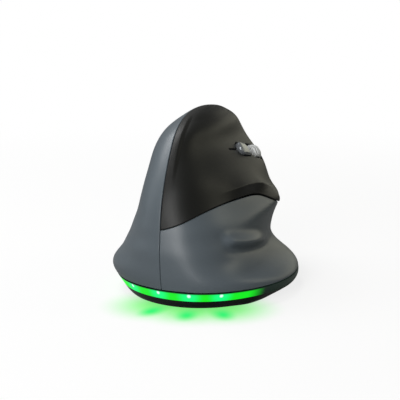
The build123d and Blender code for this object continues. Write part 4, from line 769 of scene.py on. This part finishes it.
class MOUSE_OT_wheel(bpy.types.Operator):
    """Turn the wheel's tyre and finish its hub"""

    bl_idname = "mouse.wheel"
    bl_label = "Wheel"

    SHOULDER = ((0.0, WHEEL_RADIUS), (0.8, 9.48), (1.5, 9.35), (2.2, 9.0), (2.7, 8.5), (2.9, 7.9), (2.9, 7.55))
    RIBS, RIB_DEPTH, SEGMENTS = 32, 0.7, 384

    def execute(self, context):
        profile = [(-along, radius) for along, radius in self.SHOULDER[:0:-1]] + list(self.SHOULDER)
        tyre = lathe("wheel_tyre_ribbed", AXLE, SLOPE, AHEAD, profile, self.SEGMENTS, self.ribs)
        settle(tyre, "wheel", finish("silver_rubber"), "wheel_tyre")
        wear("wheel_hub", finish("wheel_hub_abs"))
        return {"FINISHED"}

    def ribs(self, angles, radius):
        """How far the grooves between the ribs go in; they run out down the shoulder."""
        wave = np.clip(np.cos(angles * self.RIBS) * 1.6, -1, 1) * 0.5 - 0.5
        return wave * self.RIB_DEPTH * rise(radius, 8.2, 0.8)


class MOUSE_OT_speed_key(bpy.types.Operator):
    """Mould the domed speed key"""

    bl_idname = "mouse.speed_key"
    bl_label = "Speed key"

    HALF, FOOT, DOME = (5.9, 3.0), -3.4, 0.8  # half length and half width; its foot's level; the dome's height
    STEPS, SEGMENTS = 14, 96

    def execute(self, context):
        shoulder = on_face(points_of("dpi_button") / MM)[:, 2].max() - self.DOME
        half_length, half_width = self.HALF
        levels = [(0.0, self.FOOT), (0.0, shoulder)]
        for i in range(1, self.STEPS + 1):
            angle = np.pi / 2 * i / self.STEPS
            levels.append((half_width * (1 - np.cos(angle)), shoulder + self.DOME * np.sin(angle)))
        turn = np.arange(self.SEGMENTS) * 2 * np.pi / self.SEGMENTS
        rows = []
        for inset, height in levels:
            radius = max(half_width - inset, 0.02)
            x = np.cos(turn) * radius + np.sign(np.cos(turn)) * (half_length - half_width) + SPEED_KEY_MIDDLE
            rows.append(FACE + np.outer(x, AHEAD) + np.outer(np.sin(turn) * radius, SLOPE) + height * OUT)
        faces = ring_faces(len(levels), self.SEGMENTS)
        last = (len(levels) - 1) * self.SEGMENTS
        faces.append(tuple(range(last, last + self.SEGMENTS)))
        faces.append(tuple(reversed(range(self.SEGMENTS))))
        cap = make_mesh("speed_key_cap", np.concatenate(rows), faces)
        settle(cap, "speed_key", finish("silver_lacquer"), "dpi_button")
        return {"FINISHED"}


class MOUSE_OT_foot(bpy.types.Operator):
    """Finish the base, its feet and the light ring"""

    bl_idname = "mouse.foot"
    bl_label = "Foot and light"

    def execute(self, context):
        wear("base_plate", finish("polished_black_abs"))
        wear("glide_feet", finish("sintered_ptfe"))
        wear("light_ring", self.lit(context.scene.mouse_colours.light))
        return {"FINISHED"}

    @staticmethod
    def lit(green):
        """Milky polycarbonate, moulded, over green lamps: it glows, pales over each lamp, dies out past the last, and
        has painted shade along its top under the shells.
        """
        made, tree = new_material("lit_polycarbonate")
        dark = linear("#02120A")
        place = add_node(tree, "ShaderNodeTexCoord").outputs["Object"]
        nearest = least(tree, [
            add_node(tree, "ShaderNodeVectorMath", {0: place, 1: spot}, operation="DISTANCE").outputs["Value"]
            for spot in map(on_ring, lamp_places())])
        height = add_node(tree, "ShaderNodeSeparateXYZ", {0: place}).outputs["Z"]
        level = add_node(tree, "ShaderNodeVectorMath", {0: place, 1: (1.0, 1.0, 0.0)}, operation="MULTIPLY").outputs[0]
        normal = add_node(tree, "ShaderNodeNewGeometry").outputs["Normal"]
        facing = add_node(tree, "ShaderNodeVectorMath", {0: normal, 1: level}, operation="DOT_PRODUCT").outputs["Value"]
        colour = tinted(tree, green, (
            (nearest, 1.0, 6.0, linear("#00FF82")),  # halo
            (nearest, 0.35, 1.0, linear("#E6FFFF")),  # bright spot
            (nearest, 21.0, 11.0, dark),  # past the last lamp
            (height, 7.05, 6.5, dark),  # painted shade along the band's top, where it goes up under the shells' edge
            (facing, 0.0, 0.01, dark),  # the inner face, so that no light shows through the seams
        ))
        milky = add_node(tree, "ShaderNodeBsdfPrincipled", {
            "Base Color": linear("#1C2A26"), "Roughness": 0.28, "IOR": 1.58,
            "Emission Color": colour, "Emission Strength": 1.0})
        add_node(tree, "ShaderNodeOutputMaterial", {"Surface": milky.outputs["BSDF"]})
        return made


def painted_glow(tree):
    """White paper with the lamps' green light painted on it: a pale pool round each lamp, and a streak thrown straight
    out from it.
    """
    place = add_node(tree, "ShaderNodeTexCoord").outputs["Object"]
    light_pools, light_streaks = [], []
    for lamp in lamp_places():
        spot = Vector((lamp[0], lamp[1], 0.0))
        if spot.y > GLOW_REAR * MM:
            continue
        out = (spot - Vector((0.0, FOOT_MIDDLE_Y * MM, 0.0))).normalized()
        light_pools.append(add_node(
            tree, "ShaderNodeVectorMath", {0: place, 1: tuple(spot)}, operation="DISTANCE").outputs["Value"])
        # The streak's own axes: its middle is 9 mm out from the lamp, and the scale is its half length and half width
        local = add_node(tree, "ShaderNodeMapping", {
            "Vector": place, "Location": tuple(spot + out * 9 * MM),
            "Rotation": (0.0, 0.0, float(np.arctan2(out.y, out.x))), "Scale": (11.0, 6.0, 11.0),
        }, vector_type="TEXTURE").outputs["Vector"]
        light_streaks.append(add_node(tree, "ShaderNodeVectorMath", {0: local}, operation="LENGTH").outputs["Value"])
    # Painted light: green pools and streaks where the lamps would light the paper
    return tinted(tree, (1, 1, 1, 1), (
        (least(tree, light_pools), 3.0, 27.0, linear("#8CFF8C")), (least(tree, light_streaks), 0.0, 1.0, linear("#3CFC7C"))))


def on_ring(lamp):
    """Where a lamp shows brightest: straight out from it, on the ring's outer face, in metres."""
    lamp, rise_up = np.array(lamp), SPOT_RISE * MM
    out = unit(np.array([lamp[0], lamp[1] - FOOT_MIDDLE_Y * MM, 0]))
    across = np.array([-out[1], out[0], 0])
    ring = points_of("light_ring") - lamp
    beside = (np.abs(ring @ across) < 1.5 * MM) & (np.abs(ring[:, 2] - rise_up) < 0.9 * MM) & (ring @ out > 0)
    return tuple(lamp + out * (ring[beside] @ out).max() + (0, 0, rise_up))


def lamp_places():
    """Middle of each lamp, from the frame, in metres."""
    lamps = []
    for point in points_of("light_emitters"):
        for lamp in lamps:
            if np.linalg.norm(point - lamp[0]) < LAMP_REACH * MM:
                lamp.append(point)
                break
        else:
            lamps.append([point])
    return [tuple(np.mean(lamp, axis=0)) for lamp in lamps]


class MOUSE_OT_inside(bpy.types.Operator):
    """Finish the thumb keys and everything inside"""

    bl_idname = "mouse.inside"
    bl_label = "Thumb keys and inside"

    NODES = {
        "satin_black_abs": ("back_button", "forward_button"),
        "solder_mask": ("key_board", "main_board", "thumb_board"),
        "zinc_plated_steel": (
            "base_screws", "frame_screws", "key_board_screws", "main_board_screws", "thumb_board_screws",
            "charge_port", "receiver_plug"),
        "moulded_nylon_black": (
            "left_switch", "right_switch", "dpi_switch", "middle_switch", "thumb_switches", "motion_sensor",
            "controller_chip", "power_switch", "receiver_case", "key_frame", "dpi_guide", "wheel_yoke"),
        "moulded_nylon_white": (
            "left_plunger", "right_plunger", "dpi_plunger", "middle_plunger", "back_plunger", "forward_plunger",
            "power_slider", "battery_connector", "ribbon_sockets", "ribbon_cable", "light_strip", "light_emitters"),
        "moulded_pbt_teal": ("wheel_encoder",),
        "clear_acrylic": ("sensor_lens",),
        "aluminised_foil": ("battery",),
        "closed_cell_foam": ("battery_pad",),
        "pvc_lead_red": ("battery_leads",),
    }

    def execute(self, context):
        for name, nodes in self.NODES.items():
            for node in nodes:
                wear(node, finish(name))
        return {"FINISHED"}


class MOUSE_OT_stage(bpy.types.Operator):
    """Lay the floor and set the camera and the lights"""

    bl_idname = "mouse.stage"
    bl_label = "Stage"

    AIM = Vector((0, -6, 36))  # the mouse's middle as the camera sees it
    AIM_RIGHT, AIM_UP = 2.06, 0.41  # how far right of and over the picture's middle that lies
    LIT_AT = Vector((0, 0, 36))  # what the soft boxes point at
    FLOOR_REACH, FLOOR_GAP = 3000, 0.02  # half the floor's side, and how far it lies under the feet
    # Name, place, size, power in watts and colour of each soft box
    LAMPS = (
        ("strip", (-20, -700, 230), (300, 560), 3.3, "#FFFFFF"),
        ("side", (-640, -160, 260), (400, 500), 0.35, "#F4F8FF"),
        ("top", (-330, 60, 640), (500, 500), 3.5, "#FFFFFF"),
        ("low", (345, 598, 160), (900, 200), 0.40, "#FBF8DE"),
        ("over", (610, 240, 400), (300, 300), 0.45, "#FBF8DE"),
    )

    def execute(self, context):
        self.camera(context)
        self.floor()
        self.sky(context)
        self.lights(context)
        context.scene.view_settings.view_transform = "Standard"
        return {"FINISHED"}

    @staticmethod
    def place(context, made, spot, heading):
        """Puts a camera or a lamp in the scene, looking along the heading."""
        context.scene.collection.objects.link(made)
        made.location = spot
        made.rotation_mode = "QUATERNION"
        made.rotation_quaternion = heading.to_track_quat("-Z", "Y")

    def camera(self, context):
        """A long lens a little over the horizon."""
        stage = context.scene.mouse_stage
        turn, height = stage.azimuth, stage.elevation
        back = Vector((np.sin(turn) * np.cos(height), -np.cos(turn) * np.cos(height), np.sin(height)))
        right = Vector((np.cos(turn), np.sin(turn), 0))
        target = (self.AIM - right * self.AIM_RIGHT - back.cross(right) * self.AIM_UP) * MM
        data = bpy.data.cameras.new("camera")
        data.sensor_width, data.lens = 36, stage.lens
        data.clip_start, data.clip_end = 0.01, 20
        made = bpy.data.objects.new("camera", data)
        self.place(context, made, target + back * stage.distance, -back)
        context.scene.camera = made

    def floor(self):
        """Pale paper: the camera sees it lit evenly, with the lamps' green light painted round the foot, and it throws
        less light up on the finger side.
        """
        reach, low = self.FLOOR_REACH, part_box("glide_feet")[0].z / MM - self.FLOOR_GAP
        corners = [(-reach, -reach, low), (reach, -reach, low), (reach, reach, low), (-reach, reach, low)]
        made = make_mesh("floor", corners, [(0, 1, 2, 3)])
        material, tree = new_material("pale_floor")
        seen = add_node(tree, "ShaderNodeLightPath").outputs["Is Camera Ray"]
        place = add_node(tree, "ShaderNodeTexCoord").outputs["Object"]
        across = add_node(tree, "ShaderNodeSeparateXYZ", {0: place}).outputs["X"]
        # The lamps' green light, painted on the paper
        tint = painted_glow(tree)
        unseen = tinted(tree, linear("#4A4A4A"), ((across, 0.0, 150.0, linear("#949494")),))
        colour = add_node(tree, "ShaderNodeMix", {0: seen, 6: unseen, 7: tint}, data_type="RGBA").outputs[2]
        paper = add_node(tree, "ShaderNodeBsdfDiffuse", {"Color": colour})
        white = add_node(tree, "ShaderNodeEmission", {"Color": tint, "Strength": 1.0})
        far = add_node(tree, "ShaderNodeVectorMath", {0: place}, operation="LENGTH").outputs["Value"]
        plain = add_node(tree, "ShaderNodeMapRange", {
            "Value": far, "From Min": 120 * MM, "From Max": 500 * MM, "To Min": 0.8, "To Max": 1.0,
        }, interpolation_type="SMOOTHSTEP").outputs["Result"]
        share = add_node(tree, "ShaderNodeMath", {0: seen, 1: plain}, operation="MULTIPLY")
        both = add_node(tree, "ShaderNodeMixShader", {
            0: share.outputs[0], 1: paper.outputs["BSDF"], 2: white.outputs["Emission"]})
        add_node(tree, "ShaderNodeOutputMaterial", {"Surface": both.outputs["Shader"]})
        made.data.materials.append(material)

    @staticmethod
    def sky(context):
        """White behind the mouse and through clear pieces, and a low even light on it."""
        world = bpy.data.worlds.new("studio")
        context.scene.world = world
        world.use_nodes = True
        tree = world.node_tree
        tree.nodes.clear()
        path = add_node(tree, "ShaderNodeLightPath")
        seen = add_node(tree, "ShaderNodeMath", {
            0: path.outputs["Is Camera Ray"], 1: path.outputs["Is Transmission Ray"]}, operation="MAXIMUM")
        level = add_node(tree, "ShaderNodeMapRange", {"Value": seen.outputs[0], "To Min": 0.15, "To Max": 1.0})
        white = add_node(tree, "ShaderNodeBackground", {"Color": (1, 1, 1, 1), "Strength": level.outputs["Result"]})
        add_node(tree, "ShaderNodeOutputWorld", {"Surface": white.outputs["Background"]})

    def lights(self, context):
        """Soft boxes: one behind the heel, a faint and a high one on the thumb side, two on the finger side."""
        for name, spot, size, power, colour in self.LAMPS:
            data = bpy.data.lights.new(name, "AREA")
            data.shape = "RECTANGLE"
            data.size, data.size_y = size[0] * MM, size[1] * MM
            data.energy = power
            data.color = linear(colour)[:3]
            spot = Vector(spot)
            self.place(context, bpy.data.objects.new(name, data), spot * MM, self.LIT_AT - spot)


GROUPS = {"mouse_shells": ShellSettings, "mouse_colours": ColourSettings, "mouse_stage": StageSettings}
OPERATORS = (
    MOUSE_OT_shells, MOUSE_OT_panel, MOUSE_OT_wheel, MOUSE_OT_speed_key, MOUSE_OT_foot, MOUSE_OT_inside, MOUSE_OT_stage,
)


class MOUSE_PT_panel(bpy.types.Panel):
    """The mouse's pieces and settings"""

    bl_idname = "MOUSE_PT_panel"
    bl_label = "Upright mouse"
    bl_space_type = "VIEW_3D"
    bl_region_type = "UI"
    bl_category = "Mouse"

    def draw(self, context):
        for name, group in GROUPS.items():
            for key in group.__annotations__:
                self.layout.prop(getattr(context.scene, name), key)
        for operator in OPERATORS:
            self.layout.operator(operator.bl_idname)


CLASSES = (*GROUPS.values(), *OPERATORS, MOUSE_PT_panel)


def register():
    """Adds the classes and their settings to Blender."""
    for made in CLASSES:
        bpy.utils.register_class(made)
    for name, group in GROUPS.items():
        setattr(bpy.types.Scene, name, bpy.props.PointerProperty(type=group))


def unregister():
    """Takes them away again."""
    for name in GROUPS:
        delattr(bpy.types.Scene, name)
    for made in reversed(CLASSES):
        bpy.utils.unregister_class(made)


def main():
    """Builds every piece."""
    register()
    for operator in OPERATORS:
        group, name = operator.bl_idname.split(".")
        getattr(getattr(bpy.ops, group), name)()


if __name__ == "__main__":
    main()
